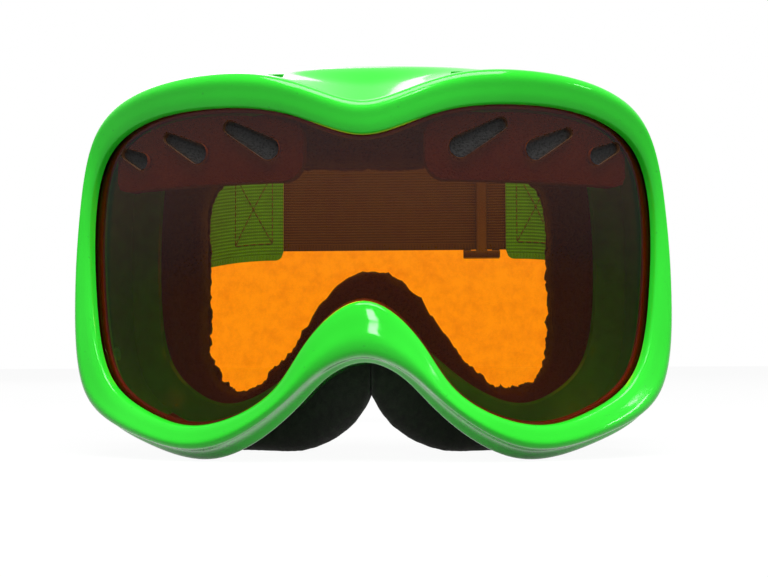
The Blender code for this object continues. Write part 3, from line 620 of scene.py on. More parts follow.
def rimRings(at):
    opening = flatCurve(openingStations, 0.0, at)
    edge, frontEdge, lipBack = rimEdges(at)
    outerFront, flangeEdge, innerFront, innerBack = wallCurves(at)
    holeEdge = spaceCurve(flangeHoleStations, at)
    shelf, pocket = flatCurve(openingStations, 1.2, at), flatCurve(openingStations, rim["groove"], at)
    crown, depth = rim["crown"], rim["lensDepth"]
    keys = [(wrap(opening, depth - 0.4), 2, 1), (wrap(opening, 0.9), 3, 0),
            (wrap(between(opening, frontEdge, 0.035), 0.0), 3, 0),
            (wrap(between(opening, frontEdge, 0.12), -0.55), 4, 0),
            (wrap(between(opening, frontEdge, 0.42), -0.70 * crown), 6, 0),
            (wrap(between(opening, frontEdge, 0.75), -crown), 5, 0),
            (wrap(between(opening, frontEdge, 0.93), -0.62 * crown), 4, 0),
            (wrap(frontEdge, 0.5), 3, 0), (wrap(between(frontEdge, edge, 0.3), 0.5 * lipBack + 0.6), 3, 0),
            (wrap(between(frontEdge, edge, 0.92), lipBack - 0.35), 2, 0), (wrap(edge, lipBack + 0.25), 2, 0),
            (wrap(flatCurve(rimStations, -0.25, at), lipBack + 0.9), 2, 0), (outerFront, 8, 1),
            (between(outerFront, flangeEdge, 0.5), 8, 0), (inward(back(flangeEdge, -0.6), holeEdge, 0.05), 3, 0),
            (inward(back(flangeEdge, rim["flange"]), holeEdge, 0.7), 6, 0),
            (inward(back(holeEdge, rim["flange"]), flangeEdge, 0.6), 3, 0),
            (inward(holeEdge, flangeEdge, 0.3), 5, 0), (innerBack, 6, 1), (between(innerFront, innerBack, 0.5), 6, 0),
            (innerFront, 4, 1), (wrap(shelf, rim["ledgeBack"]), 2, 1), (wrap(shelf, rim["ledgeFront"]), 2, 1),
            (wrap(pocket, rim["ledgeFront"]), 2, 1), (wrap(pocket, depth - 0.4), 2, 1)]
    return softRings([k[0] for k in keys], [k[1] for k in keys], [i for i, k in enumerate(keys) if k[2]])


def wallBlock(first, last, shareLow, shareHigh, near, far, steps, rows=1, layers=1):
    # a curved block that follows the side wall; near and far are distances inside its outer face
    at = np.linspace(first, last, steps)
    outerFront, outerBack, innerFront, innerBack = wallCurves(at)

    def line(share, inside):
        return between(between(outerFront, outerBack, share), between(innerFront, innerBack, share),
                       inside / rim["wall"])
    loop = [(shareLow + (shareHigh - shareLow) * i / rows, near) for i in range(rows)]
    loop += [(shareHigh, near + (far - near) * i / layers) for i in range(layers)]
    loop += [(shareHigh - (shareHigh - shareLow) * i / rows, far) for i in range(rows)]
    loop += [(shareLow, far - (far - near) * i / layers) for i in range(layers)]
    grid = np.array([line(*one) for one in loop])
    count = len(loop)
    faces = [(i * steps + k, i * steps + k + 1, (i + 1) % count * steps + k + 1, (i + 1) % count * steps + k)
             for i in range(count) for k in range(steps - 1)]
    faces += [tuple(i * steps for i in range(count)), tuple(i * steps + steps - 1 for i in reversed(range(count)))]
    return grid.reshape(-1, 3), faces


def plainMesh(verts, faces):
    def split(shape):
        bmesh.ops.triangulate(shape, faces=[f for f in shape.faces if len(f.verts) == 4])
    return reshape(newMesh("plain", verts, faces), split, faceOut)


coarseSections = evenSections(72)


def slotParameter(station):
    wanted = np.interp(station, range(len(knots)), knots)
    i = np.searchsorted(coarseSections, wanted)
    return (coarseSections[i - 1] + coarseSections[i]) / 2


def sideHole():
    outline = [(-25.0 + 2.2 * cos(a), 47.5 + 2.2 * sin(a)) for a in np.arange(24) * pi / 12]
    return prismMesh(outline, lambda p, end: (88.0 if end else 70.0, p[1], p[0]))


def buildRim():
    at = evenSections(rim["sections"])
    rings = rimRings(at)
    body = plainMesh(rings.reshape(-1, 3), tubeFaces(*rings.shape[:2]))
    cuts = []
    for first, count, low, high, spread in ((2.35, 3, 0.35, 0.62, 0.85), (9.5, 2, 0.42, 0.68, 0.7)):
        for k in range(count):
            ends = [slotParameter(first + k * spread + 0.3 * side) for side in (-1, 1)]
            cuts.append(plainMesh(*wallBlock(ends[0], ends[1], low, high, -3.0, rim["wall"] + 3.0, 7)))
    cuts.append(sideHole())
    cuts += [reshape(mesh.copy(), mirrorShape) for mesh in cuts]
    body = placeMesh(cutMesh(body, joinMeshes(cuts)))
    body.name = "rim"
    return linkMesh("rim", body, 40, [glossGreen])


rimPiece = buildRim()
enter(rimPiece, "goggles", "frame")
print("rim built:", len(rimPiece.data.polygons), "faces")


# ears that carry the clip pins
ear = {"thickness": 2.6, "gap": 0.3, "barrelHeight": 15.4, "pinRadius": 1.3}
earLow = layout["strapMiddle"] - ear["barrelHeight"] / 2 - ear["gap"]
earHigh = layout["strapMiddle"] + ear["barrelHeight"] / 2 + ear["gap"]


def rod(centre, radius, low, high, sides=32):
    outline = [(centre[0] + radius * cos(2 * pi * i / sides), centre[1] + radius * sin(2 * pi * i / sides))
               for i in range(sides)]
    return prismMesh(outline, lambda p, end: (p[0], p[1], high if end else low))


def buildEars():
    tongues = []
    middle = atan2(hingeY - 53.0, hingeX - 79.5)
    arc = [middle + radians(a) for a in range(-90, 91, 10)]
    outline = [(80.9, 47.5)] + [(hingeX + 4 * cos(a), hingeY + 4 * sin(a)) for a in arc] + [(77.3, 57.4)]
    for low in (earLow - ear["thickness"], earHigh):
        tongue = prismMesh(outline, lambda p, end: (p[0], p[1], low + ear["thickness"] * end))
        tongue = cutMesh(tongue, rod((hingeX, hingeY), ear["pinRadius"] + ear["gap"], low - 3, low + 6))
        tongues.append(bevelMesh(tongue, 0.35))
    return linkMesh("earsRight", placeMesh(joinMeshes(tongues)), 40, [glossGreen])


earsRight = buildEars()
earsLeft = mirrorObject(earsRight, "earsLeft")
for piece in (earsRight, earsLeft):
    enter(piece, "goggles")


# lens, a rolled plate with three vents over each eye
lens = {"thickness": 1.2, "reach": 3.2, "strip": 2.0,
        "vents": [((26.3, 29.3, 3.05), (37.9, 35.7, 1.85)), ((47.9, 29.2, 2.9), (57.9, 34.2, 1.55)),
                  ((67.6, 28.5, 2.45), (74.0, 31.3, 1.6))]}


def rolledPlate(outline, depthNear, depthFar, strip, holes=(), rowStrip=None):
    flat = prismMesh([tuple(p) for p in outline], lambda p, end: (p[0], float(end), p[1]))
    if holes:
        tools = [prismMesh(h, lambda p, end: (p[0], 3.0 * end - 1.0, p[1])) for h in holes]
        flat = cutMesh(flat, joinMeshes(tools))
    shape = bmesh.new()
    shape.from_mesh(flat)
    bmesh.ops.remove_doubles(shape, verts=shape.verts, dist=1e-4)
    for axis, gap in ((0, strip), (2, rowStrip)):
        if gap:
            reach = max(abs(p[0 if axis == 0 else 1]) for p in outline)
            for k in range(-int(reach / gap), int(reach / gap) + 1):
                plane = [0.0, 0.0, 0.0]
                normal = [0.0, 0.0, 0.0]
                plane[axis], normal[axis] = k * gap, 1.0
                bmesh.ops.bisect_plane(shape, geom=shape.verts[:] + shape.edges[:] + shape.faces[:],
                                       plane_co=plane, plane_no=normal, dist=1e-4)
    for vertex in shape.verts:
        depth = depthNear + (depthFar - depthNear) * vertex.co.y
        turn = vertex.co.x / wrapRadius
        vertex.co = ((wrapRadius - depth) * sin(turn), wrapRadius - (wrapRadius - depth) * cos(turn), vertex.co.z)
    bmesh.ops.recalc_face_normals(shape, faces=shape.faces)
    rolled = bpy.data.meshes.new("plate")
    shape.to_mesh(rolled)
    shape.free()
    return rolled


def slotOutline(wide, narrow, side, count=18):
    way = atan2(narrow[1] - wide[1], narrow[0] - wide[0])
    lean = asin((wide[2] - narrow[2]) / hypot(narrow[0] - wide[0], narrow[1] - wide[1]))
    points = []
    for end, start, stop in ((wide, way + pi / 2 - lean, way + 3 * pi / 2 + lean),
                             (narrow, way - pi / 2 + lean, way + pi / 2 - lean)):
        points += [(side * (end[0] + end[2] * cos(a)), end[1] + end[2] * sin(a))
                   for a in np.linspace(start, stop, count)]
    return points


def isLensFace(normal, centre):
    # the two polished faces lie square to the cylinder's own radius
    x, y = centre[0] * 1000, centre[1] * 1000 + shiftY - wrapRadius
    return abs(normal[0] * x + normal[1] * y) / hypot(x, y) > 0.9


def buildLens():
    outline = flatCurve(openingStations, lens["reach"], evenSections(240))
    holes = [slotOutline(*vent, side) for vent in lens["vents"] for side in (1, -1)]
    near = rim["lensDepth"]
    mesh = placeMesh(rolledPlate(outline, near, near + lens["thickness"], lens["strip"], holes))
    mesh.name = "lens"
    made = linkMesh("lensPiece", mesh, 40, [amberLens, lensEdge])
    for face in mesh.polygons:
        face.material_index = 0 if isLensFace(face.normal, face.center) else 1
    normals = []
    for face in mesh.polygons:
        for index in face.vertices:
            point = mesh.vertices[index].co
            if face.material_index == 0:
                way = Vector((point.x * 1000, point.y * 1000 + shiftY - wrapRadius, 0.0)).normalized()
                normals.append(way if way.dot(face.normal) > 0 else -way)
            else:
                normals.append(face.normal)
    mesh.normals_split_custom_set([tuple(n) for n in normals])
    return made


lensPiece = buildLens()
enter(lensPiece, "goggles", "lens")
print("lens built")


# seal: a soft black bead round the lens opening
seal = {"show": 0.8, "front": 3.9, "thickness": 1.2, "sections": 288}


def buildSeal():
    at = evenSections(seal["sections"])
    inner, outer = flatCurve(openingStations, -seal["show"], at), flatCurve(openingStations, lens["reach"], at)
    front, rear = seal["front"], seal["front"] + seal["thickness"]
    nearInner = flatCurve(openingStations, -seal["show"] + 0.35, at)
    keys = [wrap(nearInner, front), wrap(outer, front), wrap(outer, rear), wrap(nearInner, rear),
            wrap(inner, (front + rear) / 2)]
    return loftObject("lensSeal", softRings(keys, [3, 2, 3, 3, 3], [1, 2]), [sealRubber])


sealPiece = buildSeal()
enter(sealPiece, "goggles", "lens_seal")


# open foam behind the lens's vents
ventPad = {"low": 20.6, "inner": 16.8, "outer": 79.0, "corner": 6.0, "thickness": 4.0, "grain": 0.16}


def ventPadOutline():
    low, inner, outer, corner = (ventPad[k] for k in ("low", "inner", "outer", "corner"))
    top = flatCurve(openingStations, -seal["show"] - 0.8, np.linspace(0, knots[bottomStation], 400))
    top = top[(top[:, 0] > inner + corner) & (top[:, 1] > low + 1.0)]
    top = top[top[:, 0] < outer][::6]
    points = [(inner + corner - corner * cos(a), low + corner - corner * sin(a)) for a in np.linspace(0, pi / 2, 12)]
    last, start = top[-1], top[0]
    points += [(last[0] - 3.5, low), (last[0] - 1.0, low + 0.8), (last[0], low + 3.0)]
    points += [tuple(p) for p in top[::-1]]
    return points + [(inner + 1.5, start[1] - 1.5), (inner + 0.4, start[1] - 3.0), (inner, start[1] - 5.0)]


def buildVentPad():
    mesh = placeMesh(rolledPlate(ventPadOutline(), seal["front"] + 0.15, seal["front"] + ventPad["thickness"], 1.4,
                                 rowStrip=1.4))
    made = linkMesh("ventPadRight", mesh, 50, [ventFoam])
    mesh.name = "ventPadRight"
    roughen(made, ventPad["grain"], 1.6)
    return made


ventPadRight = buildVentPad()
ventPadLeft = mirrorObject(ventPadRight, "ventPadLeft")
for piece, side in ((ventPadRight, "right"), (ventPadLeft, "left")):
    enter(piece, "goggles", "lens_vent_foam_" + side)


# thin foam inside the slots of the side wall
wallPads = {"top": (1.9, 4.5, 0.30, 0.72), "bottom": (8.9, 10.6, 0.34, 0.74)}
for name, (first, last, low, high) in wallPads.items():
    ends = [np.interp(station, range(len(knots)), knots) for station in (first, last)]
    verts, faces = wallBlock(ends[0], ends[1], low, high, rim["wall"] + 0.62, rim["wall"] + 2.55, 60, 10, 2)
    right = makeObject(name + "WallPadRight", verts, faces, 50, looks=[ventFoam])
    roughen(right, 0.12, 1.4)
    left = mirrorObject(right, name + "WallPadLeft")
    for piece, side in ((right, "right"), (left, "left")):
        enter(piece, "goggles", name + "_vent_foam_" + side)
print("vent foams built")


# face foam with a rough cut edge round its hole, and the fleece that lies on the face
faceFoam = {"sections": 460, "thickness": 10.0, "inset": 1.0, "bulge": 0.5, "fleece": 3.0, "nibble": 1.5,
            "nibbleSize": 4.2, "grain": 0.45, "grainSize": 1.3}


def foamCurves(at):
    flangeEdge, holeEdge = spaceCurve(flangeStations, at), spaceCurve(flangeHoleStations, at)
    outer = inward(flangeEdge, holeEdge, faceFoam["inset"])
    flatHole = closedSpline(mirrorStations(foamHoleStations), at)[0]
    lean = (holeEdge[:, 1] - flangeEdge[:, 1]) / np.linalg.norm(holeEdge - flangeEdge, axis=1)
    reach = np.linalg.norm(flatHole - holeEdge[:, [0, 2]], axis=1)
    hole = np.stack([flatHole[:, 0], holeEdge[:, 1] + 0.5 * lean * reach, flatHole[:, 1]], axis=1)
    seat = rim["flange"] + 0.3
    return back(outer, seat), back(holeEdge, seat), back(hole, seat)


def foamRing(name, near, far, onFlange, look):
    at = evenSections(faceFoam["sections"])
    outer, seat, hole = foamCurves(at)
    bulge = faceFoam["bulge"]
    deep = far - near
    first = seat if onFlange else between(hole, outer, 0.5)
    # a soft corner sits a little inside each cut edge
    keys = [(inward(back(outer, near), hole, 0.5), 5), (back(first, near), 7),
            (inward(back(hole, near), outer, 0.5), 2), (back(hole, near + 0.15 * deep), 4),
            (back(inward(hole, outer, -bulge), (near + far) / 2), 4), (back(hole, far - 0.12 * deep), 2),
            (inward(back(hole, far), outer, 0.6), 6), (back(between(hole, outer, 0.5), far + bulge), 6),
            (inward(back(outer, far), hole, 0.6), 2), (back(outer, far - 0.12 * deep), 4),
            (back(inward(outer, hole, -bulge), (near + far) / 2), 4), (back(outer, near + 0.12 * deep), 2)]
    rings = softRings([k[0] for k in keys], [k[1] for k in keys])
    # how near each ring is to the hole, for the cut edge
    toHole = np.linalg.norm(rings - back(hole, (near + far) / 2), axis=2)
    return loftObject(name, rings, [look], 60), rings, toHole


def nibbleEdge(obj, rings, toHole):
    # the cut edge wanders in and out along the hole, nearly the same through the foam's depth
    mesh = obj.data
    middle = rings.mean(axis=0)
    for r in range(rings.shape[0]):
        for c in range(rings.shape[1]):
            share = max(0.0, 1.0 - toHole[r, c] / 9.0)
            if share <= 0:
                continue
            vertex = mesh.vertices[r * rings.shape[1] + c]
            point = rings[r, c]
            place = Vector((point[0], 0.35 * point[1], point[2]))
            wander = noise.fractal(place / faceFoam["nibbleSize"], 0.6, 2.1, 4)
            patch = 0.5 + noise.noise(Vector((point[0], 0.0, point[2])) / (4.0 * faceFoam["nibbleSize"]))
            torn = min(1.0, max(0.30, (12.0 - point[2]) / 30.0))
            step = wander * faceFoam["nibble"] * torn * (0.4 + 1.1 * patch)
            step += noise.noise(Vector(point) / faceFoam["grainSize"]) * faceFoam["grain"]
            way = Vector((middle[c, 0] - point[0], 0.0, middle[c, 2] - point[2]))
            way = way.normalized() if way.length > 1e-6 else way
            vertex.co = vertex.co + way * (step * share * 0.001)


fleeceNear = faceFoam["thickness"] + 0.3
foamLayers = [("faceFoam", 0.0, faceFoam["thickness"], True, openFoam, "face_foam", "black_foam"),
              ("faceFleece", fleeceNear + faceFoam["bulge"], fleeceNear + faceFoam["fleece"], False, fleece,
               "face_fleece", "fleece")]
for name, near, far, onFlange, look, node, slot in foamLayers:
    piece, rings, toHole = foamRing(name, near, far, onFlange, look)
    nibbleEdge(piece, rings, toHole)
    enter(piece, "goggles", node)
    print(name, "built:", len(piece.data.polygons), "faces")


# nose pads: two fleece-covered lobes under the arch
nosePad = {"edge": [(0.2, -37.5), (3.0, -42.5), (7.0, -47.0), (13.0, -51.0), (21.0, -53.6), (30.0, -53.9),
                    (39.0, -53.9), (46.0, -52.6), (51.0, -50.2)],
           "steps": 90, "belly": 0.9, "lowCorner": 3.2, "topCorner": 1.0, "grain": 0.14}


def buildNosePad():
    steps = nosePad["steps"]
    at = np.linspace(knots[bottomStation] - 0.02, knots[9] + 0.30 * (knots[10] - knots[9]), steps)
    edge = inward(spaceCurve(flangeStations, at), spaceCurve(flangeHoleStations, at), faceFoam["inset"])
    upper = edge - np.array([0.0, 0.0, 0.3 + faceFoam["bulge"]])
    upper[:, 0] = np.maximum(upper[:, 0], 0.2)
    points = np.array(nosePad["edge"])
    count = np.linspace(0, len(points) - 1, steps)
    low = np.array([[catmull(points[:, k], one) for k in (0, 1)] for one in count])
    low[:, 1] = np.maximum(low[:, 1], layout["padFloor"])
    front = edge[:, 1] + rim["flange"] + 0.3 + 0.8
    rows = []
    deep = faceFoam["thickness"] + faceFoam["fleece"]
    for i in range(steps):
        top = np.array([upper[i, 0], upper[i, 2]])
        bottom = np.array([low[i, 0], min(low[i, 1], upper[i, 2] - 1.2)])
        length = np.linalg.norm(bottom - top)
        fromEnd = min(i, steps - 1 - i) / (steps - 1) * 58.0
        pinch = 1.6 * (1 - min(1.0, fromEnd / 2.2)) ** 2
        big, small = min(nosePad["lowCorner"], 0.42 * length), min(nosePad["topCorner"], 0.2 * length)
        row = []
        for corner, radius in (((small, small), small), ((length - big, big), big),
                               ((length - big, deep - big), big), ((small, deep - small), small)):
            start = {0: pi, 1: 3 * pi / 2, 2: 0.0, 3: pi / 2}[len(row) // 6]
            for k in range(6):
                a = start + (pi / 2) * k / 5
                row.append((corner[0] + radius * cos(a), corner[1] + radius * sin(a)))
        whole = []
        for k in range(24):
            a, b = np.array(row[k]), np.array(row[(k + 1) % 24])
            whole.append(a)
            if k % 6 == 5:
                pieces = 6 if k in (5, 17) else 4
                whole += [a + (b - a) * j / pieces for j in range(1, pieces)]
        way = (bottom - top) / length
        for along, depth in whole:
            swell = nosePad["belly"] * sin(pi * min(1.0, max(0.0, along / length)))
            middleDepth = deep / 2
            depth = middleDepth + (depth - middleDepth) * (1 + 2 * swell / deep - 2 * pinch / deep)
            place = top + way * along
            rows.append((place[0], front[i] + depth, place[1]))
    sides = len(rows) // steps
    made = makeObject("nosePadRight", rows, endedTube(steps, sides), 60, looks=[fleece])
    roughen(made, nosePad["grain"], 2.2)
    return made


def catmull(values, at):
    i = min(int(at), len(values) - 2)
    t = at - i
    p = [values[max(0, i - 1)], values[i], values[i + 1], values[min(len(values) - 1, i + 2)]]
    return 0.5 * (2 * p[1] + (p[2] - p[0]) * t + (2 * p[0] - 5 * p[1] + 4 * p[2] - p[3]) * t ** 2
                  + (3 * p[1] - p[0] - 3 * p[2] + p[3]) * t ** 3)


nosePadRight = buildNosePad()
nosePadLeft = mirrorObject(nosePadRight, "nosePadLeft")
for piece, side in ((nosePadRight, "right"), (nosePadLeft, "left")):
    enter(piece, "goggles", "nose_pad_" + side)
print("nose pads built")


# clips: barrel, neck, two rails and a bar that the webbing turns round
clip = {"thickness": 3.0, "barrelRadius": 3.4, "barRadius": 1.5, "rail": 2.6, "strapHeight": 43.0}


def buildClip(side):
    name = "clip" + ("Right" if side > 0 else "Left")
    half = clip["strapHeight"] / 2 + 0.7
    tip, neck = half + clip["rail"], ear["barrelHeight"] / 2 - 0.6
    lowY, highY = hingeY + 1.0, barY + clip["barRadius"]
    middle = layout["strapMiddle"]
    outline = [(lowY, -neck), (lowY + 3.2, -neck), (lowY + 5.2, -neck - 2.2), (lowY + 7.4, -tip + 0.9),
               (lowY + 9.0, -tip), (highY - 0.7, -tip), (highY, -tip + 0.7)]
    outline += [(y, -z) for y, z in reversed(outline)]
    thick = clip["thickness"] / 2
    x = side * hingeX
    plate = prismMesh(outline, lambda p, end: (x + thick * (1 if end else -1), p[0], middle + p[1]))
    plate = cutMesh(plate, boxMesh((x - 5, barY - 4.2, middle - half), (x + 5, barY + 9, middle + half)))
    plate = bevelMesh(plate, 0.45, 3)
    bar = rod((x, barY), clip["barRadius"], middle - half - 0.8, middle + half + 0.8, 28)
    parts = [plate, bevelMesh(bar, 0.2, 1, 60)]
    low, high = middle - ear["barrelHeight"] / 2, middle + ear["barrelHeight"] / 2
    barrel = rod((x, hingeY), clip["barrelRadius"], low, high, 40)
    barrel = cutMesh(barrel, rod((x, hingeY), ear["pinRadius"] + ear["gap"], low - 2, high + 2))
    parts.append(bevelMesh(barrel, 0.3, 2, 60))
    for k in range(-2, 3):     # shallow grip ribs on the plate's outer face
        rib = boxMesh((x + side * (thick - 0.2), lowY + 3.4, middle + 3.0 * k - 0.45),
                      (x + side * (thick + 0.25), lowY + 6.4, middle + 3.0 * k + 0.45))
        parts.append(bevelMesh(rib, 0.12, 2))
    mesh = placeMesh(joinMeshes(parts))
    mesh.name = name
    return linkMesh(name, mesh, 35, [moulded])


def buildPin(side):
    # a turned pin with a domed head
    name = "pin" + ("Right" if side > 0 else "Left")
    low, top = earLow - ear["thickness"], earHigh + ear["thickness"] + 0.3
    profile = [(0.0, low), (1.0, low), (1.3, low + 0.3), (1.3, top), (2.4, top), (2.4, top + 0.35), (2.2, top + 0.65),
               (1.7, top + 0.88), (0.9, top + 0.98), (0.0, top + 1.0)]
    sides = 36
    verts = [(side * hingeX + r * cos(2 * pi * k / sides), hingeY + r * sin(2 * pi * k / sides), z)
             for r, z in profile[1:-1] for k in range(sides)]
    return makeObject(name, verts, endedTube(len(profile) - 2, sides), 50, looks=[steel])


for side, word in ((-1, "left"), (1, "right")):
    enter(buildClip(side), "clip_" + word, "strap_clip_" + word)
    enter(buildPin(side), "goggles", "clip_pin_" + word)
print("clips built")


# strap: the loop in plan, then ribbons that stand on edge along it
strap = {"thickness": 1.6, "sideHeight": 43.0, "backHeight": 35.0, "loopBack": 192.0, "loopFlat": 50.0,
         "loopCorner": 60.0, "tabEnd": 46.0, "overlap": 24.0, "fold": 32.0, "layer": 1.9}


def heightAt(y):
    return layout["strapMiddle"] + tan(radians(layout["strapRise"])) * (y - barY)


def loopPath():
    sideX = hingeX + 1.3
    cornerY = strap["loopBack"] - strap["loopCorner"]
    points = [(sideX, y) for y in np.linspace(barY + 12, cornerY, 20)]
    points += [(strap["loopFlat"] + (sideX - strap["loopFlat"]) * cos(a), cornerY + strap["loopCorner"] * sin(a))
               for a in np.linspace(0, pi / 2, 61)[1:]]
    points.append((0.0, strap["loopBack"]))
    return np.array(points)


class Path:
    # a plan line read by its length, with a sideways offset
    def __init__(self, points):
        self.points = np.array(points, float)
        self.along = np.concatenate([[0.0], np.cumsum(np.linalg.norm(np.diff(self.points, axis=0), axis=1))])
        self.length = self.along[-1]

    def read(self, d):
        return np.array([np.interp(d, self.along, self.points[:, k]) for k in (0, 1)])

    def way(self, d):
        step = self.read(min(d + 1.0, self.length)) - self.read(max(d - 1.0, 0.0))
        return step / hypot(*step)

    def at(self, d, offset=0.0):
        way = self.way(d)
        return self.read(d) + offset * np.array([way[1], -way[0]])


def resample(points, gap):
    # a smooth line through the points, with an even gap
    points = np.array(points, float)
    dense = []
    for i in range(len(points) - 1):
        for t in np.linspace(0, 1, 12, endpoint=False):
            dense.append([catmull(points[:, k], i + t) for k in range(points.shape[1])])
    dense.append(points[-1])
    dense = np.array(dense)
    along = np.concatenate([[0.0], np.cumsum(np.linalg.norm(np.diff(dense[:, :2], axis=0), axis=1))])
    count = max(2, int(along[-1] / gap))
    at = np.linspace(0, along[-1], count + 1)
    return np.stack([np.interp(at, along, dense[:, k]) for k in range(points.shape[1])], axis=1), at


def ribbonObject(name, line, run, height, looks, roundEnd=0.0, across=22):
    # cross-section: flat faces with round edges; the selvedge is a hair thicker
    way = np.gradient(line[:, :2], axis=0)
    way /= np.linalg.norm(way, axis=1)[:, None]
    normal = np.stack([way[:, 1], -way[:, 0]], axis=1)
    thick = strap["thickness"] / 2
    section = [(sign, sign * u) for sign in (1, -1) for u in np.linspace(-1, 1, across)]
    verts, uvs = [], []
    for i, point in enumerate(line):
        half = height / 2
        past = run[-1] - run[i]
        if past < roundEnd:
            half -= roundEnd - sqrt(max(0.0, roundEnd ** 2 - (roundEnd - past) ** 2))
        for sign, u in section:
            fromEdge = half * (1 - abs(u))
            plump = sqrt(max(0.0, 1 - (1 - min(1.0, (fromEdge + 0.12) / 0.8)) ** 2))
            bead = 0.08 if fromEdge < 2.0 else 0.0
            offset = sign * (thick * plump - 0.08 + bead)
            wave = 0.10 * noise.noise(Vector((run[i] / 24.0, u * 1.3, 5.0)))
            verts.append((line[i, 0] + normal[i, 0] * (offset + wave), line[i, 1] + normal[i, 1] * (offset + wave),
                          heightAt(point[2]) + u * half))
            uvs.append((run[i] * 0.001, u * half * 0.001))
    return makeObject(name, verts, endedTube(len(line), len(section)), 60, uvs=uvs, looks=looks)


loop = Path(loopPath())
tabAt = loop.length - strap["tabEnd"]


def sideLine():
    turn = clip["barRadius"] + 0.35 + strap["thickness"] / 2
    start = barY + 12
    line = [(hingeX + 1.3 - strap["layer"], y, y) for y in np.linspace(barY + strap["fold"], start, 4)]
    line += [(hingeX - 0.4 * turn - 0.3, barY + 6.5, barY + 6.5), (hingeX - 0.85 * turn, barY + 3, barY + 3)]
    line += [(hingeX + turn * cos(a), barY + turn * sin(a), barY) for a in np.linspace(pi, 2 * pi, 11)]
    line += [(hingeX + 0.93 * turn, barY + 3, barY + 3), (hingeX + 0.68 * turn, barY + 7, barY + 7)]
    for stop in np.linspace(0, tabAt, 60):
        x, y = loop.at(stop)
        line.append((x, y, y))
    return line


sideRun, sideAt = resample(sideLine(), 0.9)
sideRight = ribbonObject("sideStrapRight", sideRun, sideAt, strap["sideHeight"], [greenWebbing], roundEnd=3.6)
sideLeft = mirrorObject(sideRight, "sideStrapLeft")


def backLine():
    half = []
    for stop in np.linspace(tabAt - strap["overlap"], loop.length - strap["loopFlat"], 40):
        x, y = loop.at(stop, strap["layer"])
        half.append((x, y, loop.at(stop)[1]))
    backY = strap["loopBack"] + strap["layer"]
    half[-1] = (half[-1][0], backY, strap["loopBack"])
    half += [(x, backY, strap["loopBack"]) for x in (30.0, 10.0)]
    return half + [(-x, y, rise) for x, y, rise in half[::-1]]


backRun, backAt = resample(backLine(), 1.0)
strapBack = ribbonObject("strapBack", backRun, backAt, strap["backHeight"], [darkElastic])
enter(strapBack, "goggles", "strap_back")


# stitching: short arched threads along a line of points with their outward normals
stitch = {"length": 2.4, "gap": 0.5, "radius": 0.22, "arch": 0.16, "sides": 6}


def stitchRow(start, end, onFace):
    # start and end are (along the strap, up from its middle)
    total = hypot(end[0] - start[0], end[1] - start[1])
    count = max(1, int(total / (stitch["length"] + stitch["gap"])))
    verts, faces = [], []
    for n in range(count):
        ends = [(n + share) / count for share in (0.08, 0.92)]
        centre = []
        for k in range(6):
            t = ends[0] + (ends[1] - ends[0]) * k / 5
            lift = stitch["arch"] * sin(pi * k / 5) - 0.05
            centre.append((start[0] + (end[0] - start[0]) * t, start[1] + (end[1] - start[1]) * t, lift))
        side = np.array([-(end[1] - start[1]), end[0] - start[0]]) / total
        base = len(verts)
        for k, (along, up, lift) in enumerate(centre):
            girth = stitch["radius"] * (0.55 if k in (0, 5) else 1.0)
            for j in range(stitch["sides"]):
                a = 2 * pi * j / stitch["sides"]
                verts.append(onFace(along + side[0] * girth * cos(a), up + side[1] * girth * cos(a),
                                    lift + girth * sin(a)))
        faces += [tuple(base + i for i in face) for face in endedTube(6, stitch["sides"])]
    return verts, faces


def stitchObject(name, rows, onFace, look):
    verts, faces = [], []
    for start, end in rows:
        more, moreFaces = stitchRow(start, end, onFace)
        faces += [tuple(len(verts) + i for i in face) for face in moreFaces]
        verts += more
    return makeObject(name, verts, faces, 60, looks=[look])


def boxRows(low, high, half, cross=True):
    rows = [((low, -half), (low, half)), ((high, -half), (high, half)), ((low, half), (high, half)),
            ((low, -half), (high, -half))]
    return rows + ([((low, -half), (high, half)), ((low, half), (high, -half))] if cross else [])


def onLoop(offset, sign):
    def face(along, up, lift):
        x, y = loop.at(along, offset + sign * lift)
        return (x, y, heightAt(loop.at(along)[1]) + up)
    return face


seamRows = boxRows(tabAt - strap["overlap"] + 3.0, tabAt - 4.5, 14.6)
outerSeam = stitchObject("seamOuterRight", seamRows, onLoop(strap["layer"] + strap["thickness"] / 2, 1), darkThread)
innerSeam = stitchObject("seamInnerRight", seamRows, onLoop(-strap["thickness"] / 2, -1), darkThread)
for right in (outerSeam, innerSeam):
    left = mirrorObject(right, right.name.replace("Right", "Left"))
    for piece in (right, left):
        enter(piece, "goggles")

foldRows = boxRows(4.5, 17.5, 18.0, cross=False) + [((11.0, -18.0), (11.0, 18.0))]
foldSeam = stitchObject("foldSeamRight", foldRows, onLoop(strap["thickness"] / 2, 1), greenThread)
foldSeamLeft = mirrorObject(foldSeam, "foldSeamLeft")
for piece, side, sign in ((sideRight, "right", 1), (sideLeft, "left", -1), (foldSeam, "right", 1),
                          (foldSeamLeft, "left", -1)):
    "clip_" + side
    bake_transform(piece)
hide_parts("strap_side_right")
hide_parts("strap_side_left")
print("strap built")


# adjuster on the elastic: a moulded slide with a bar inside and two outside
slide = {"x": 36.0, "length": 15.0, "bar": 2.0, "gap": 1.15, "bevel": 0.4}


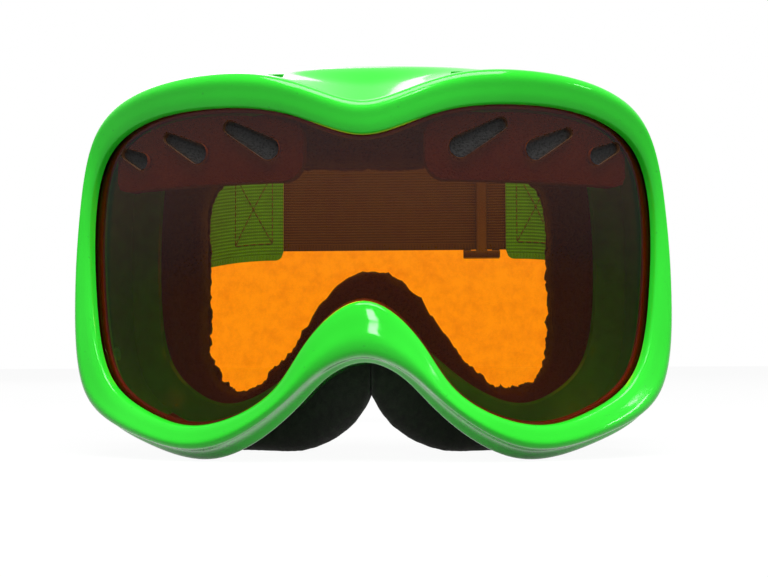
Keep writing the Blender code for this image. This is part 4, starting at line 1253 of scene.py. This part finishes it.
def buildSlide():
    elasticY = strap["loopBack"] + strap["layer"]
    middle, half, reach = heightAt(strap["loopBack"]), strap["backHeight"] / 2 + 0.5, slide["length"] / 2
    inner, outer = elasticY - slide["gap"], elasticY + slide["gap"]
    low, high, x = inner - slide["bar"], outer + slide["bar"], slide["x"]
    body = boxMesh((x - reach, low, middle - half - 3), (x + reach, high, middle + half + 3))
    for near, far in [((x - 20, inner, middle - half), (x + 20, outer, middle + half)),
                      ((x - reach + 3.2, outer - 1, middle - half), (x + reach - 3.2, high + 3, middle + half)),
                      ((x - 20, low - 3, middle - half), (x - 2.2, inner + 1, middle + half)),
                      ((x + 2.2, low - 3, middle - half), (x + 20, inner + 1, middle + half))]:
        body = cutMesh(body, boxMesh(near, far))
    body = placeMesh(bevelMesh(body, slide["bevel"], 3))
    body.name = "adjusterSlide"
    return linkMesh("adjusterSlide", body, 35, [moulded])


adjusterPiece = buildSlide()
enter(adjusterPiece, "adjuster", "adjuster")
print("adjuster built")


# floor, sky and lamps
studio = {"floorSize": 12.0, "skyLight": 0.10, "floorShown": 0.95, "aim": (0.0, -0.03, 0.06)}
lamps = {"topLamp": ((0.10, -0.58, 1.18), (0.9, 0.6), 23.0), "rearLamp": ((-0.5, 1.1, 0.9), (0.8, 0.8), 6.0),
         "windowLamp": ((0.08, -0.96, 0.56), (0.13, 0.24), 2.9), "sideLamp": ((1.05, -0.62, 0.52), (0.12, 0.14), 1.4)}


def seenBy(look, *kinds):
    # 1 for rays of any of these kinds
    rays = [look.add("ShaderNodeLightPath", output="Is " + kind + " Ray") for kind in kinds]
    seen = rays[0]
    for one in rays[1:]:
        seen = seen.maths("MAXIMUM", seen, one)
    return seen


def skyWorld():
    world = bpy.data.worlds.new("sky")
    bpy.context.scene.world = world
    look = Look(world)
    lit = look.add("ShaderNodeBackground", {}, {"Color": (0.97, 0.985, 1.0, 1.0), "Strength": studio["skyLight"]})
    white = look.add("ShaderNodeBackground", {}, {"Color": (1.0, 1.0, 1.0, 1.0)})
    look.finish(look.blend(seenBy(look, "Camera", "Glossy", "Transmission"), lit, white), "World")


def floorLook():
    look = Look("paleFloor")
    pale = look.add("ShaderNodeBsdfDiffuse", {}, {"Color": (0.90, 0.90, 0.90, 1.0)})
    dull = look.add("ShaderNodeBsdfDiffuse", {}, {"Color": (0.30, 0.30, 0.30, 1.0)})
    white = look.add("ShaderNodeEmission", {}, {"Color": (1.0, 1.0, 1.0, 1.0), "Strength": 1.0})
    shown = look.blend(studio["floorShown"], pale, white)
    return look.finish(look.blend(seenBy(look, "Camera", "Glossy"), dull, shown))


def buildFloor():
    half = studio["floorSize"] / 2
    mesh = newMesh("floor", [(-half, -half, 0), (half, -half, 0), (half, half, 0), (-half, half, 0)], [(0, 1, 2, 3)])
    mesh.materials.append(floorLook())
    floor = newObject("floor", mesh)
    floor.location.z = -0.0002
    floor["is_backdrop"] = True


def areaLamp(name, place, size, power):
    data = bpy.data.lights.new(name, "AREA")
    data.shape = "RECTANGLE"
    data.size, data.size_y = size
    data.energy = power
    lamp = newObject(name, data)
    lamp.location = place
    lamp.rotation_euler = (Vector(studio["aim"]) - Vector(place)).to_track_quat("-Z", "Y").to_euler()


skyWorld()
buildFloor()
for name, (place, size, power) in lamps.items():
    areaLamp(name, place, size, power)

eye = {"place": (0.02225, -0.4257, 0.0260), "yaw": 2.92, "pitch": 3.34, "roll": -0.22, "lens": 59.33}


def buildCamera():
    data = bpy.data.cameras.new("camera")
    data.lens, data.sensor_width, data.clip_start = eye["lens"], 36.0, 0.01
    camera = newObject("camera", data)
    turn = (Matrix.Rotation(radians(eye["yaw"]), 4, "Z") @ Matrix.Rotation(radians(90 + eye["pitch"]), 4, "X")
            @ Matrix.Rotation(radians(eye["roll"]), 4, "Z"))
    camera.matrix_world = Matrix.Translation(eye["place"]) @ turn
    bpy.context.scene.camera = camera


buildCamera()
bpy.context.scene.view_settings.view_transform = "Standard"
print("stage ready")

low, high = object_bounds()
